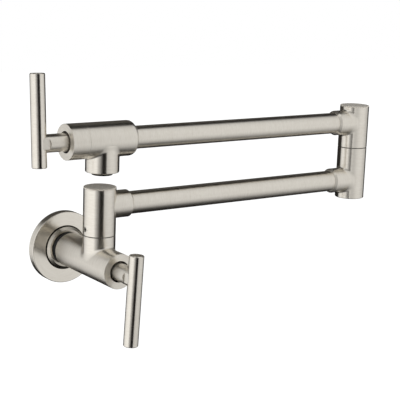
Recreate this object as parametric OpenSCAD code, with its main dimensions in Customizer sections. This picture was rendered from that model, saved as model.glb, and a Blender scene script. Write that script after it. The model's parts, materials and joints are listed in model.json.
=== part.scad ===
// Wall-mounted folding pot filler: two swinging arms, a quarter-turn valve at the wall
// and another one at the spout. X runs along the folded arms, Y into the wall and Z up.
// The origin is the centre of the pipe inlet, on the face of the wall.

/* [Arms] */
// Outside diameter of both arm tubes
tube_d = 19; // [17:0.5:20.5]
// Wall of both arm tubes
tube_wall = 1.2; // [0.8:0.1:1.8]
// Distance from the post's axis to the elbow's axis
arm_l = 275; // [180:1:400]
// Distance by which the outlet stops short of the post's axis when the arms are folded
outlet_offset = 1.7; // [0:0.1:12]
// Wall of the sockets that hold the tubes
socket_wall = 1.9; // [1.5:0.1:2.4]
// Reach of the lower arm's sockets from the post's axis and from the elbow's axis
lower_socket_reach = 27.3; // [24:0.1:40]
// Reach of the upper arm's socket from the elbow's axis
upper_socket_reach = 25.8; // [24:0.1:40]

/* [Heights] */
// Height of the seam between the riser and the post above the inlet's axis
post_seam_z = 23.7; // [21:0.1:32]
// Height of the lower arm's axis above the post's seam
lower_arm_rise = 24; // [23:0.1:32]
// Height of the post's top above the lower arm's axis
post_top_rise = 16; // [15:0.1:20]
// Depth of the elbow's foot below the lower arm's axis
elbow_foot_drop = 17.3; // [14:0.1:30]
// Height of the elbow's seam above the lower arm's axis
elbow_seam_rise = 31; // [27:0.1:40]
// Height of the upper arm's axis above the elbow's seam
upper_arm_rise = 23.4; // [22.8:0.1:30]
// Height of the elbow's top above the upper arm's axis
elbow_top_rise = 15.8; // [15:0.1:20]

/* [Wall plate] */
// Diameter of the round wall plate
plate_d = 62.4; // [58:0.1:80]
// Thickness of the wall plate
plate_t = 7.3; // [6.5:0.1:9]
// Thickness of the wall plate's face
plate_face_t = 2; // [1.5:0.1:3]
// Width of the wall plate's rim where it meets the wall
plate_rim_w = 4.7; // [4:0.1:7]
// Bevel round the wall plate's front edge
plate_bevel = 0.6; // [0.3:0.1:1.5]
// Thickness of the gasket behind the wall plate
gasket_t = 1.2; // [0.8:0.1:2]

/* [Inlet collar] */
// Diameter of the round inlet collar
collar_d = 36.6; // [34:0.1:40]
// Distance from the wall to the collar's front
collar_reach = 10.5; // [10:0.1:12]
// Radius taken off the collar's front edge
collar_bevel = 2.1; // [0.5:0.1:3]
// Diameter of the collar's neck behind the valve barrel
neck_d = 24; // [22.5:0.1:26]
// Diameter of the pipe thread in the collar, as it is drilled
inlet_thread_d = 18.3; // [16:0.1:19]
// Depth of the pipe thread in the collar
inlet_thread_l = 12.5; // [9:0.1:12.8]

/* [Wall valve] */
// Distance from the wall to the post's axis
post_from_wall = 63.3; // [60:0.1:90]
// Distance from the wall to the back of the valve barrel
barrel_from_wall = 13; // [12:0.1:14]
// Diameter of the valve barrel
barrel_d = 29; // [28:0.1:34]
// Radius of the barrel's rounded back edge
barrel_round = 3.6; // [1:0.1:3.8]
// Distance from the post's axis to the barrel's front face
barrel_front = 33.2; // [31:0.1:45]
// Thickness of the cover ring's head on the front of the barrel
cover_head_t = 1.4; // [1:0.1:2.5]
// Length of the cover ring's thread in the barrel
cover_thread_l = 6.5; // [4:0.1:7]

/* [Post and elbow] */
// Diameter of the riser, the post and the elbow
post_d = 27; // [26:0.1:28.4]
// Thickness of the caps' heads
cap_head_t = 1; // [0.8:0.1:1.8]
// Length of the caps' threaded plugs
cap_plug_l = 4.4; // [3.6:0.1:4.8]
// Bevel round the caps' upper edges
cap_bevel = 0.4; // [0.2:0.1:0.7]
// Radius taken off the elbow's lower edge
foot_bevel = 0.8; // [0.3:0.1:2]
// Height of the retaining screws above the seams
grub_rise = 5.5; // [5:0.1:6]

/* [Swivel joints] */
// Diameter of the spigots on which the arms turn
spigot_d = 18; // [17:0.1:18.6]
// Diameter of the spigots' threads
spigot_thread_d = 19; // [18.2:0.1:20]
// Bore of the spigots
spigot_bore_d = 12.8; // [11:0.1:12.9]
// Height of the seam that the slip washer keeps open
seam_gap = 0.6; // [0.4:0.1:1.2]

/* [Spout] */
// Diameter of the spout's body
spout_d = 29.2; // [28.6:0.1:34]
// Distance from the outlet's axis to the end of the spout's body at the tube
spout_back = 27.3; // [24:0.1:40]
// Distance from the outlet's axis to the face of the spout's body at the handle
spout_front = 34.4; // [33:0.1:45]
// Length of the spout's sleeve nut
sleeve_l = 15.3; // [13:0.1:17]
// Thickness of the sleeve nut's face
sleeve_face_t = 2; // [1.5:0.1:3]
// Radius of the rounded end at the tube
spout_round = 4.4; // [1:0.1:4.8]
// Diameter of the outlet
outlet_d = 27.8; // [27:0.1:28.6]
// Depth of the outlet's lower edge below the arm's axis
outlet_drop = 26.3; // [25.5:0.1:34]
// Radius taken off the outlet's lower edge
outlet_bevel = 1; // [0.3:0.1:1.5]

/* [Aerator] */
// Diameter of the aerator's thread
aerator_thread_d = 24; // [22:0.1:24.4]
// Length of the aerator's thread
aerator_thread_l = 7; // [5:0.1:8]
// Diameter of the aerator's rim below the outlet
aerator_rim_d = 17.2; // [16:0.1:23.5]
// Height of the aerator's rim below the outlet
aerator_rim_h = 2.3; // [0.8:0.1:3]
// Inside diameter of the aerator's shell
aerator_bore_d = 19; // [17:0.1:20]
// Distance between the cells of the aerator's insert
cell_pitch = 2.7; // [2.4:0.1:4]

/* [Handles] */
// Diameter of the handle bars
bar_d = 12.1; // [10:0.1:14]
// Length of a bar from the hub's axis to its far end
bar_long = 55; // [45:0.5:80]
// Length of a bar from the hub's axis to its near end
bar_short = 19; // [15:0.5:25]
// Edge taken off the bars' ends
bar_bevel = 0.6; // [0.3:0.1:1.5]
// Diameter of the hubs
hub_d = 14.6; // [14:0.1:16]
// Distance from a valve's face to its bar's axis
bar_stand = 23.1; // [20:0.1:32]
// Depth of a hub's end inside the valve's face
hub_inset = 5; // [3:0.1:6.5]
// Width of the dark gap round a hub where it enters the face
hub_gap = 1.5; // [0.6:0.1:1.6]
// Lean of the wall handle, closed, away from hanging straight down
wall_lean = -2.8; // [-5:0.1:5]
// Lean of the spout handle, closed, away from standing straight up
spout_lean = 3.7; // [-5:0.1:5]

/* [Cartridges] */
// Diameter of the chambers that hold the cartridges
chamber_d = 22; // [21:0.1:23]
// Diameter of a cartridge's lower housing
housing_d = 20; // [19.4:0.1:20.4]
// Bore of a cartridge's lower housing
housing_bore_d = 17.4; // [16.6:0.1:17.8]
// Length of a cartridge's housing from its seat to its hexagon's end
housing_l = 24; // [22.5:0.1:26]
// Length of the hexagon
hexagon_l = 2.4; // [1.6:0.1:3.5]
// Diameter of the spindles where they turn in the housings
spindle_d = 9; // [8.5:0.1:10]
// Diameter of the spindles' ends in the hubs
spindle_end_d = 8; // [7.2:0.1:8.4]
// Length of a cartridge from its seat to its spindle's end
spindle_l = 48; // [46:0.1:52]
// Thickness of the ceramic discs
disc_t = 3; // [2.5:0.1:3.4]
// Thickness of the rubber seat seals
seat_seal_t = 2; // [1.5:0.1:2.4]
// Bore of the valve seats
seat_bore_d = 13; // [11:0.1:13.6]
// Angle through which the handles turn
quarter_turn = 90; // [60:1:100]

/* [Clearances] */
// Radial clearance of shafts in their bores
run_gap = 0.05; // [0.03:0.01:0.08]
// Radial clearance of pieces that are screwed or pushed together
fit_gap = 0.05; // [0.02:0.01:0.1]
// Clearance between moving pieces that don't guide each other
free_gap = 0.3; // [0.2:0.05:0.5]
// Gap kept between sliding faces
slide_gap = 0.05; // [0.03:0.01:0.1]

/* [Hidden] */
$fn = 96;
// Overrun of every cut
over = 1;
// Number of straight steps in a quarter round
round_steps = 8;

// Places that the pieces share
tube_r = tube_d / 2;
tube_bore_r = tube_r - tube_wall;
post_r = post_d / 2;
post_y = -post_from_wall;
socket_r = tube_r + socket_wall;
lower_arm_z = post_seam_z + lower_arm_rise;
post_top_z = lower_arm_z + post_top_rise;
elbow_foot_z = lower_arm_z - elbow_foot_drop;
elbow_seam_z = lower_arm_z + elbow_seam_rise;
upper_arm_z = elbow_seam_z + upper_arm_rise;
elbow_top_z = upper_arm_z + elbow_top_rise;
outlet_x = outlet_offset;
outlet_foot_z = upper_arm_z - outlet_drop;

// Swivel joints: the spigot stops short of the arm's bore, with its seals below its top
spigot_r = spigot_d / 2;
spigot_bore_r = spigot_bore_d / 2;
spigot_thread_r = spigot_thread_d / 2;
swivel_bore_r = spigot_r + run_gap;
spigot_top_margin = 0.6;
seal_groove_w = 2.2;
seal_groove_depth = 1.7;
seal_land = 0.8;
seal_top_land = 1;
seal_groove_r = spigot_r - seal_groove_depth;
retain_groove_w = 2.6;
retain_groove_depth = 1.6;
riser_floor = 0.7;
elbow_thread_l = 15;
spigot_chamfer = 0.5;
elbow_floor = 4;

// Slip washers in the seams
washer_inset = 0.7;

// Tube sockets
socket_floor_wall = 2;
tube_seal_t = 1;
socket_floor = swivel_bore_r + socket_floor_wall;
tube_start = socket_floor + tube_seal_t;

// Caps
cap_wall = 3;
cap_plug_r = post_r - cap_wall;
cap_seal_r = 0.8;
cap_seal_drop = 2.2;
cap_recess = 0.2;

// Retaining screws of the swivels
grub_r = 2;
grub_point_r = 1.1;
grub_recess = 0.9;
grub_tip_gap = 0.4;
hex_key_af = 2;
hex_key_depth = 1.8;

// Cartridges, measured from the seat towards the handle
chamber_r = chamber_d / 2;
housing_r = housing_d / 2;
housing_bore_r = housing_bore_d / 2;
seat_bore_r = seat_bore_d / 2;
spindle_r = spindle_d / 2;
spindle_end_r = spindle_end_d / 2;
moving_disc_r = housing_bore_r - free_gap;
moving_disc_t0 = seat_seal_t + disc_t + slide_gap;
foot_t0 = moving_disc_t0 + disc_t;
foot_l = 2.4;
foot_r = moving_disc_r;
housing_chamber_l = foot_t0 + foot_l + free_gap;
window_w = 8;
window_t = seat_seal_t + disc_t + disc_t / 2;
passage_r = 4.6;
passage_start_share = 0.7;
port_r = 2.2;
port_mid_share = 0.52;
channel_w = 4.6;
channel_depth = 2;
channel_start = 2;
lug_half_angle = 25;
lug_margin_angle = 1.5;
lug_r = 5.6;
housing_seal_r = 0.9;
housing_seal_groove_w = 2;
housing_seal_land = 0.7;
housing_seal_t = housing_chamber_l + housing_seal_land + housing_seal_groove_w / 2;
housing_thread_start = housing_seal_t + housing_seal_groove_w / 2 + housing_seal_land;
spindle_seal_r = 0.7;
spindle_seal_groove_w = 1.6;
spindle_seal_land = 1.8;
spindle_seal_low = housing_chamber_l + spindle_seal_land + spindle_seal_groove_w / 2;
spindle_seal_places = [spindle_seal_low, spindle_seal_low + spindle_seal_groove_w + spindle_seal_land];
clip_t = 0.8;
clip_w = 2.3;
clip_gap = 0.2;
clip_slot_w = 5;
spindle_flat_depth = 0.5;
spindle_flat_l = 8;
spindle_chamfer = 0.5;
seat_wall = 3;

// Wall valve
riser_thread_l = post_seam_z - chamber_r - riser_floor;
barrel_r = barrel_d / 2;
face_from_wall = post_from_wall + barrel_front;
seat_from_wall = post_from_wall - window_t;
wall_face_t = face_from_wall - seat_from_wall;
rear_thread_r = 10.4;
barrel_land = 0.3;
rear_thread_l = 13.5;
rear_passage_r = 7;
barrel_round_r = min(barrel_round, barrel_r - rear_thread_r - barrel_land);
cover_thread_wall = 2.1;
cover_thread_r = barrel_r - cover_thread_wall;
cover_skirt_wall = 2.2;
cover_bore_r = cover_thread_r - cover_skirt_wall;
hub_r = hub_d / 2;
face_hole_r = hub_r + hub_gap;
edge_break = 0.3;

// Wall plate and inlet collar
plate_r = plate_d / 2;
collar_r = collar_d / 2;
plate_hole_gap = 0.9;
plate_hole_r = collar_r + plate_hole_gap;
plate_hub_wall = 1.8;
plate_hub_gap = 1.5;
gasket_lip = 0.8;
collar_seal_depth = 1;
collar_seal_groove_w = 2.2;
collar_seal_from_wall = 3.6;
neck_r = neck_d / 2;
neck_seal_share = 0.4;
neck_seal_r = neck_seal_share * (barrel_from_wall - collar_reach);
inlet_thread_r = inlet_thread_d / 2;

// Spout
spout_r = spout_d / 2;
spout_end_x = outlet_x + spout_back;
spout_face_x = outlet_x - spout_front;
sleeve_x = spout_face_x + sleeve_l;
spout_seat_x = outlet_x + window_t;
spout_face_t = spout_seat_x - spout_face_x;
spout_socket_x = spout_seat_x + seat_wall;
spout_tube_x = spout_socket_x + tube_seal_t;
spout_round_r = min(spout_round, spout_r - tube_r - edge_break);
sleeve_thread_wall = 2.2;
sleeve_thread_r = spout_r - sleeve_thread_wall;
sleeve_skirt_wall = 4.4;
sleeve_thread_l = 6.6;
outlet_r = outlet_d / 2;
outlet_bore_r = 8.6;
outlet_bore_top_z = upper_arm_z - chamber_r - seat_wall;

// Aerator
aerator_thread_r = aerator_thread_d / 2;
aerator_rim_r = aerator_rim_d / 2;
aerator_bore_r = aerator_bore_d / 2;
aerator_lip = 1;
aerator_lip_h = 0.8;
aerator_rim_round = 0.4;
aerator_washer_t = 1.5;
cell_wall = 0.5;
cell_border = 1;
insert_h = 5;

// Handles
bar_r = bar_d / 2;
hub_socket_r = spindle_end_r + fit_gap;
hub_web = 4;
hub_flat_r = hub_r;
wall_screw_from_end = 4.3;
spout_screw_from_end = 3.1;
spindle_end_room = 1;
bar_screw_r = 2;
bar_screw_head_r = 3.4;
bar_screw_head_l = 2.6;
bar_screw_depth = 6;
bar_hole_spare = 0.6;

// Shapes that repeat

// A ring with a round hole
module ring(outer, inner, h) {
    difference() {
        cylinder(r = outer, h = h);
        translate([0, 0, -over]) cylinder(r = inner, h = h + 2 * over);
    }
}

// A round rubber ring, lying flat
module rubber_ring(mid, section) {
    rotate_extrude() translate([mid, 0]) circle(r = section);
}

// A round bar with its lower and upper edges taken off
module beveled_bar(r, h, low, high) {
    foot = low > 0 ? [[r - low, 0], [r, low]] : [[r, 0]];
    head = high > 0 ? [[r, h - high], [r - high, h]] : [[r, h]];
    rotate_extrude() polygon(concat([[0, 0]], foot, head, [[0, h]]));
}

// Points of a quarter round from the side at radius r to the end at height h
function quarter_round(r, h, round) = [
    for (i = [0:round_steps])
        [r - round + round * cos(90 * i / round_steps), h - round + round * sin(90 * i / round_steps)]];

// A hexagonal bar, measured across its flats
module hexagon(across, h) {
    cylinder(r = across / 2 / cos(30), h = h, $fn = 6);
}

// Frames that the pieces are drawn in

// The wall valve's axis, from its seat towards the user
module at_wall_seat() {
    translate([0, -seat_from_wall, 0]) rotate([90, 0, 0]) children();
}

// The spout valve's axis, from its seat towards the handle
module at_spout_seat() {
    translate([spout_seat_x, post_y, upper_arm_z]) rotate([0, -90, 0]) rotate([0, 0, 90]) children();
}

// The wall's normal, from the face of the wall towards the user
module at_wall() {
    rotate([90, 0, 0]) children();
}

module at_post(z) {
    translate([0, post_y, z]) children();
}

module at_elbow(z) {
    translate([arm_l, post_y, z]) children();
}

// Along the arm, from the place x towards the elbow
module along_arm(x, z) {
    translate([x, post_y, z]) rotate([0, 90, 0]) children();
}

// Cartridge pieces, drawn from the seat up

module cartridge_housing() {
    difference() {
        union() {
            cylinder(r = housing_r, h = housing_thread_start);
            translate([0, 0, housing_thread_start])
                cylinder(r = chamber_r - fit_gap, h = housing_l - hexagon_l - housing_thread_start);
            translate([0, 0, housing_l - hexagon_l]) hexagon(2 * housing_r * cos(30), hexagon_l);
        }
        translate([0, 0, -over]) cylinder(r = housing_bore_r, h = housing_chamber_l + over);
        cylinder(r = spindle_r + run_gap, h = housing_l + over);
        translate([0, 0, housing_seal_t - housing_seal_groove_w / 2])
            ring(housing_r + over, chamber_r - 2 * housing_seal_r, housing_seal_groove_w);
        translate([-window_w / 2, -housing_r - over, seat_seal_t + disc_t])
            cube([window_w, 2 * (housing_r + over), disc_t]);
    }
    stop_lug();
}

// The lug that stops the spindle's foot at either end of its turn
module stop_lug() {
    lug_start = foot_t0 + free_gap;
    lug_l = housing_chamber_l - lug_start;
    intersection() {
        translate([0, 0, lug_start]) ring(housing_bore_r + fit_gap, lug_r, lug_l);
        translate([0, 0, lug_start]) wedge(180 - lug_half_angle, 180 + lug_half_angle, housing_r, lug_l);
    }
}

// A wedge between two angles, wide enough for a round piece of radius r
module wedge(from_angle, to_angle, r, h) {
    rotate([0, 0, from_angle]) rotate_extrude(angle = to_angle - from_angle) square([r, h]);
}

module seat_seal() {
    ring(housing_bore_r - fit_gap, seat_bore_r, seat_seal_t);
}

module fixed_disc() {
    translate([0, 0, seat_seal_t]) difference() {
        cylinder(r = housing_bore_r - fit_gap, h = disc_t);
        for (side = [-1, 1])
            translate([0, side * port_mid_share * housing_bore_r, -over])
                cylinder(r = port_r, h = disc_t + 2 * over);
    }
}

module moving_disc() {
    translate([0, 0, moving_disc_t0]) difference() {
        cylinder(r = moving_disc_r, h = disc_t);
        for (side = [0, 180])
            rotate([0, 0, side])
                translate([channel_start, -channel_w / 2, -over])
                    cube([moving_disc_r, channel_w, channel_depth + over]);
    }
}

module housing_o_ring() {
    translate([0, 0, housing_seal_t]) rubber_ring(chamber_r - housing_seal_r, housing_seal_r - fit_gap);
}

// The spindle with its foot on the moving disc; its end has a flat for the hub's screw
module spindle(lean) {
    foot_end = foot_t0 + foot_l;
    clip_start = housing_l + clip_gap;
    difference() {
        union() {
            difference() {
                translate([0, 0, foot_t0]) cylinder(r = foot_r, h = foot_l);
                foot_notch();
            }
            translate([0, 0, foot_t0]) cylinder(r = spindle_r, h = clip_start + 2 * clip_t - foot_t0);
            translate([0, 0, foot_end])
                beveled_bar(spindle_end_r, spindle_l - foot_end, 0, spindle_chamfer);
        }
        for (t = spindle_seal_places)
            translate([0, 0, t - spindle_seal_groove_w / 2])
                ring(spindle_r + over, spindle_r - 2 * spindle_seal_r, spindle_seal_groove_w);
        translate([0, 0, clip_start]) ring(spindle_r + over, spindle_end_r - clip_t, clip_t + fit_gap);
        rotate([0, 0, lean])
            translate([spindle_end_r - spindle_flat_depth, -spindle_end_r, spindle_l - spindle_flat_l])
                cube([spindle_end_r, 2 * spindle_end_r, spindle_flat_l + over]);
    }
}

// The part of the foot that is left open for the stop lug over the whole turn
module foot_notch() {
    notch_from = 180 - lug_half_angle - lug_margin_angle - quarter_turn;
    notch_to = 180 + lug_half_angle + lug_margin_angle;
    translate([0, 0, foot_t0 - over]) wedge(notch_from, notch_to, foot_r + over, foot_l + 2 * over);
}

module spindle_o_rings() {
    for (t = spindle_seal_places)
        translate([0, 0, t]) rubber_ring(spindle_r - spindle_seal_r, spindle_seal_r - fit_gap);
}

// The snap ring that keeps the spindle in its housing
module spindle_clip() {
    translate([0, 0, housing_l + clip_gap]) difference() {
        ring(spindle_r + clip_w, spindle_end_r - clip_t + fit_gap, clip_t);
        translate([0, -clip_slot_w / 2, -over])
            cube([spindle_r + clip_w + over, clip_slot_w, clip_t + 2 * over]);
    }
}

// Handle pieces, drawn on the cartridge's axis; the bar's long end points along -Y at no lean

// Place of a bar's axis: a spindle that is too long for its hub moves the bar out
function bar_place(face_t) = max(
    face_t + bar_stand,
    spindle_l + spindle_end_room + bar_screw_head_l + hub_web + bar_r);

module hub(lean, face_t, screw_from_end) {
    hub_start = face_t - hub_inset;
    bar_t = bar_place(face_t);
    socket_end = bar_t - bar_r - hub_web;
    rotate([0, 0, lean]) difference() {
        translate([0, 0, hub_start]) beveled_bar(hub_r, bar_t - hub_start, edge_break, 0);
        translate([0, 0, hub_start - over]) cylinder(r = hub_socket_r, h = socket_end - hub_start + over);
        cylinder(r = bar_screw_r + fit_gap, h = bar_t);
        translate([0, 0, bar_t])
            rotate([90, 0, 0]) cylinder(r = bar_r + fit_gap, h = 2 * (hub_r + over), center = true);
        for (side = [-1, 1]) hub_flat(side, bar_t);
        translate([0, 0, spindle_l - screw_from_end])
            rotate([0, 90, 0]) cylinder(r = grub_r + fit_gap, h = hub_r + over);
    }
}

// A round-ended flat that brings the hub down to the bar's width
module hub_flat(side, bar_t) {
    translate([side * (bar_r + hub_r), 0, bar_t])
        rotate([0, 90, 0]) cylinder(r = hub_flat_r, h = 2 * hub_r, center = true);
}

module bar(lean, face_t) {
    bar_t = bar_place(face_t);
    rotate([0, 0, lean]) translate([0, 0, bar_t]) difference() {
        translate([0, bar_short, 0]) rotate([90, 0, 0])
            beveled_bar(bar_r, bar_short + bar_long, bar_bevel, bar_bevel);
        translate([0, 0, -bar_r - over])
            cylinder(r = bar_screw_r + fit_gap, h = bar_screw_depth + bar_hole_spare + over);
    }
}

// The screw that holds the bar to the hub from inside the hub's socket
module bar_screw(face_t) {
    bar_t = bar_place(face_t);
    seat_t = bar_t - bar_r - hub_web;
    translate([0, 0, seat_t - bar_screw_head_l]) difference() {
        union() {
            cylinder(r = bar_screw_head_r, h = bar_screw_head_l);
            cylinder(r = bar_screw_r, h = bar_screw_head_l + hub_web + bar_screw_depth);
        }
        translate([0, 0, -over]) hexagon(hex_key_af, hex_key_depth + over);
    }
}

// The grub screw that clamps the hub to the spindle's flat
module hub_grub_screw(lean, screw_from_end) {
    tip = spindle_end_r - spindle_flat_depth;
    rotate([0, 0, lean]) translate([0, 0, spindle_l - screw_from_end]) rotate([0, 90, 0])
        translate([0, 0, tip]) difference() {
            beveled_bar(grub_r, hub_r - edge_break - tip, edge_break, 0);
            translate([0, 0, hub_r - edge_break - tip - hex_key_depth])
                hexagon(hex_key_af, hex_key_depth + over);
        }
}

// Swivel pieces, drawn from the seam up; rise is the arm's height above the seam

function spigot_top(rise) = rise - tube_bore_r - spigot_top_margin;
function seal_places(rise) = [
    spigot_top(rise) - seal_top_land - seal_groove_w / 2,
    spigot_top(rise) - seal_top_land - seal_groove_w - seal_land - seal_groove_w / 2];

module spigot(rise, thread_l) {
    top = spigot_top(rise);
    difference() {
        union() {
            translate([0, 0, -thread_l])
                cylinder(r = spigot_thread_r - fit_gap, h = thread_l - seam_gap / 2);
            translate([0, 0, -thread_l]) beveled_bar(spigot_r, top + thread_l, 0, spigot_chamfer);
        }
        translate([0, 0, -thread_l - over]) cylinder(r = spigot_bore_r, h = top + thread_l + 2 * over);
        for (z = seal_places(rise))
            translate([0, 0, z - seal_groove_w / 2]) ring(spigot_r + over, seal_groove_r, seal_groove_w);
        translate([0, 0, grub_rise - retain_groove_w / 2])
            ring(spigot_r + over, spigot_r - retain_groove_depth, retain_groove_w);
    }
}

module spigot_o_rings(rise) {
    section = (spigot_r - seal_groove_r - 2 * fit_gap) / 2;
    for (z = seal_places(rise)) translate([0, 0, z]) rubber_ring(spigot_r - fit_gap - section, section);
}

module slip_washer() {
    translate([0, 0, -seam_gap / 2]) ring(post_r - washer_inset, spigot_r + fit_gap, seam_gap - slide_gap);
}

// The screw whose point runs in the spigot's groove and keeps the arm on; drawn along +X
module swivel_grub_screw() {
    tip = spigot_r - retain_groove_depth + grub_tip_gap;
    shank_start = swivel_bore_r + grub_tip_gap;
    end = post_r - grub_recess;
    rotate([0, 90, 0]) difference() {
        union() {
            translate([0, 0, tip]) cylinder(r = grub_point_r, h = end - tip);
            translate([0, 0, shank_start]) beveled_bar(grub_r, end - shank_start, edge_break, 0);
        }
        translate([0, 0, end - hex_key_depth]) hexagon(hex_key_af, hex_key_depth + over);
    }
}

module cap(top_z) {
    translate([0, 0, top_z - cap_head_t]) {
        beveled_bar(post_r, cap_head_t, 0, cap_bevel);
        difference() {
            translate([0, 0, -cap_plug_l]) beveled_bar(cap_plug_r - fit_gap, cap_plug_l, edge_break, 0);
            translate([0, 0, -cap_seal_drop - cap_seal_r])
                ring(cap_plug_r + over, cap_plug_r - 2 * cap_seal_r, 2 * cap_seal_r);
        }
    }
}

module cap_o_ring(top_z) {
    translate([0, 0, top_z - cap_head_t - cap_seal_drop])
        rubber_ring(cap_plug_r - cap_seal_r, cap_seal_r - fit_gap);
}

// A tube socket that reaches out from an upright body, drawn along +X from the body's axis
module socket(reach) {
    rotate([0, 90, 0]) beveled_bar(socket_r, reach, 0, socket_wall);
}

// The bore of a tube socket: a passage to the body's bore and a seat for the tube
module socket_bore(reach) {
    rotate([0, 90, 0]) {
        cylinder(r = tube_bore_r, h = reach + over);
        translate([0, 0, socket_floor]) cylinder(r = tube_r + fit_gap, h = reach + over);
    }
}

module tube(from_x, to_x, z) {
    along_arm(from_x, z) ring(tube_r, tube_bore_r, to_x - from_x);
}

module tube_seal(x, z) {
    along_arm(x, z) ring(tube_r - fit_gap, tube_bore_r, tube_seal_t);
}

// Wall unit

module escutcheon() {
    rim_inner = plate_r - plate_rim_w;
    back = plate_t - plate_face_t;
    hub_outer = plate_hole_r + plate_hub_wall;
    color("#c8c4b9") at_wall() difference() {
        beveled_bar(plate_r, plate_t, 0, plate_bevel);
        translate([0, 0, -over]) cylinder(r = plate_hole_r, h = plate_t + 2 * over);
        translate([0, 0, -over]) ring(rim_inner, hub_outer, back + over);
        translate([0, 0, -over]) cylinder(r = hub_outer + fit_gap, h = plate_hub_gap + over);
        translate([0, 0, -over]) ring(plate_r - gasket_lip, rim_inner - over, gasket_t + over);
    }
}

module wall_gasket() {
    color("#262626") at_wall() ring(plate_r - gasket_lip - fit_gap, plate_r - plate_rim_w, gasket_t);
}

module escutcheon_o_ring() {
    section = (plate_hole_r - collar_r + collar_seal_depth - 2 * fit_gap) / 2;
    color("#1c1c1c") at_wall() translate([0, 0, collar_seal_from_wall])
        rubber_ring(plate_hole_r - fit_gap - section, section);
}

module inlet_collar() {
    thread_end = barrel_from_wall + rear_thread_l;
    color("#c8c4b9") at_wall() difference() {
        union() {
            beveled_bar(collar_r, collar_reach, edge_break, collar_bevel);
            cylinder(r = neck_r, h = barrel_from_wall);
            cylinder(r = rear_thread_r - fit_gap, h = thread_end);
        }
        translate([0, 0, -over]) cylinder(r = inlet_thread_r, h = inlet_thread_l + over);
        cylinder(r = rear_passage_r, h = thread_end + over);
        translate([0, 0, collar_seal_from_wall - collar_seal_groove_w / 2])
            ring(collar_r + over, collar_r - collar_seal_depth, collar_seal_groove_w);
    }
}

module inlet_o_ring() {
    color("#161616") at_wall() translate([0, 0, (collar_reach + barrel_from_wall) / 2])
        rubber_ring(neck_r + fit_gap + neck_seal_r, neck_seal_r);
}

module valve_body() {
    barrel_end = face_from_wall - cover_head_t;
    barrel_l = barrel_end - barrel_from_wall;
    rounded_back = quarter_round(barrel_r, barrel_l, barrel_round_r);
    color("#c8c4b9") difference() {
        union() {
            at_wall() translate([0, 0, barrel_end]) rotate([180, 0, 0])
                rotate_extrude() polygon(concat([[0, 0], [barrel_r, 0]], rounded_back, [[0, barrel_l]]));
            at_post(0) cylinder(r = post_r, h = post_seam_z - seam_gap / 2);
        }
        at_wall() {
            cylinder(r = rear_thread_r, h = barrel_from_wall + rear_thread_l + edge_break);
            cylinder(r = rear_passage_r, h = seat_from_wall - seat_wall);
            cylinder(r = seat_bore_r, h = seat_from_wall + over);
            translate([0, 0, seat_from_wall]) cylinder(r = chamber_r, h = face_from_wall);
            translate([0, 0, barrel_end - cover_thread_l - edge_break])
                cylinder(r = cover_thread_r, h = face_from_wall);
        }
        at_post(passage_start_share * chamber_r) cylinder(r = passage_r, h = post_seam_z);
        at_post(chamber_r + riser_floor) cylinder(r = spigot_thread_r, h = post_seam_z);
    }
}

module wall_cover_ring() {
    start = face_from_wall - cover_head_t - cover_thread_l;
    color("#c8c4b9") at_wall() translate([0, 0, start]) difference() {
        union() {
            cylinder(r = cover_thread_r - fit_gap, h = cover_thread_l);
            translate([0, 0, cover_thread_l]) beveled_bar(barrel_r, cover_head_t, 0, edge_break);
        }
        translate([0, 0, -over]) cylinder(r = face_hole_r, h = cover_thread_l + cover_head_t + 2 * over);
        translate([0, 0, -over]) cylinder(r = cover_bore_r, h = cover_thread_l + over);
    }
}

module wall_cartridge_housing() {
    color("#b8964e") at_wall_seat() cartridge_housing();
}

module wall_seat_seal() {
    color("#1c1c1c") at_wall_seat() seat_seal();
}

module wall_fixed_disc() {
    color("#f2f0ea") at_wall_seat() fixed_disc();
}

module wall_housing_o_ring() {
    color("#1c1c1c") at_wall_seat() housing_o_ring();
}

module swivel_spigot() {
    color("#b8964e") at_post(post_seam_z) spigot(lower_arm_rise, riser_thread_l);
}

module swivel_o_rings() {
    color("#1c1c1c") at_post(post_seam_z) spigot_o_rings(lower_arm_rise);
}

module swivel_slip_washer() {
    color("#20201e") at_post(post_seam_z) slip_washer();
}

// Wall handle

module wall_moving_disc() {
    color("#e4e1d8") at_wall_seat() moving_disc();
}

module wall_spindle() {
    color("#c2a25a") at_wall_seat() spindle(wall_lean);
}

module wall_spindle_o_rings() {
    color("#1c1c1c") at_wall_seat() spindle_o_rings();
}

module wall_spindle_clip() {
    color("#8d8d8b") at_wall_seat() spindle_clip();
}

module wall_handle_hub() {
    color("#c8c4b9") at_wall_seat() hub(wall_lean, wall_face_t, wall_screw_from_end);
}

module wall_handle_grub_screw() {
    color("#4a4a48") at_wall_seat() hub_grub_screw(wall_lean, wall_screw_from_end);
}

module wall_bar_screw() {
    color("#8d8d8b") at_wall_seat() bar_screw(wall_face_t);
}

module wall_handle_bar() {
    color("#c8c4b9") at_wall_seat() bar(wall_lean, wall_face_t);
}

// Lower arm

module swivel_post() {
    post_z = post_seam_z + seam_gap / 2;
    body_h = post_top_z - cap_head_t - post_z;
    color("#c8c4b9") difference() {
        union() {
            at_post(post_z) cylinder(r = post_r, h = body_h);
            at_post(lower_arm_z) socket(lower_socket_reach);
        }
        at_post(post_z - over) cylinder(r = swivel_bore_r, h = body_h + 2 * over);
        at_post(post_z + body_h - cap_plug_l - cap_recess) cylinder(r = cap_plug_r, h = post_top_z);
        at_post(lower_arm_z) socket_bore(lower_socket_reach);
        at_post(post_seam_z + grub_rise)
            rotate([0, -90, 0]) cylinder(r = grub_r + fit_gap, h = post_r + over);
    }
}

module post_cap() {
    color("#c8c4b9") at_post(0) cap(post_top_z);
}

module post_cap_o_ring() {
    color("#1c1c1c") at_post(0) cap_o_ring(post_top_z);
}

module post_grub_screw() {
    color("#8d8d8b") at_post(post_seam_z + grub_rise) rotate([0, 0, 180]) swivel_grub_screw();
}

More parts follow.
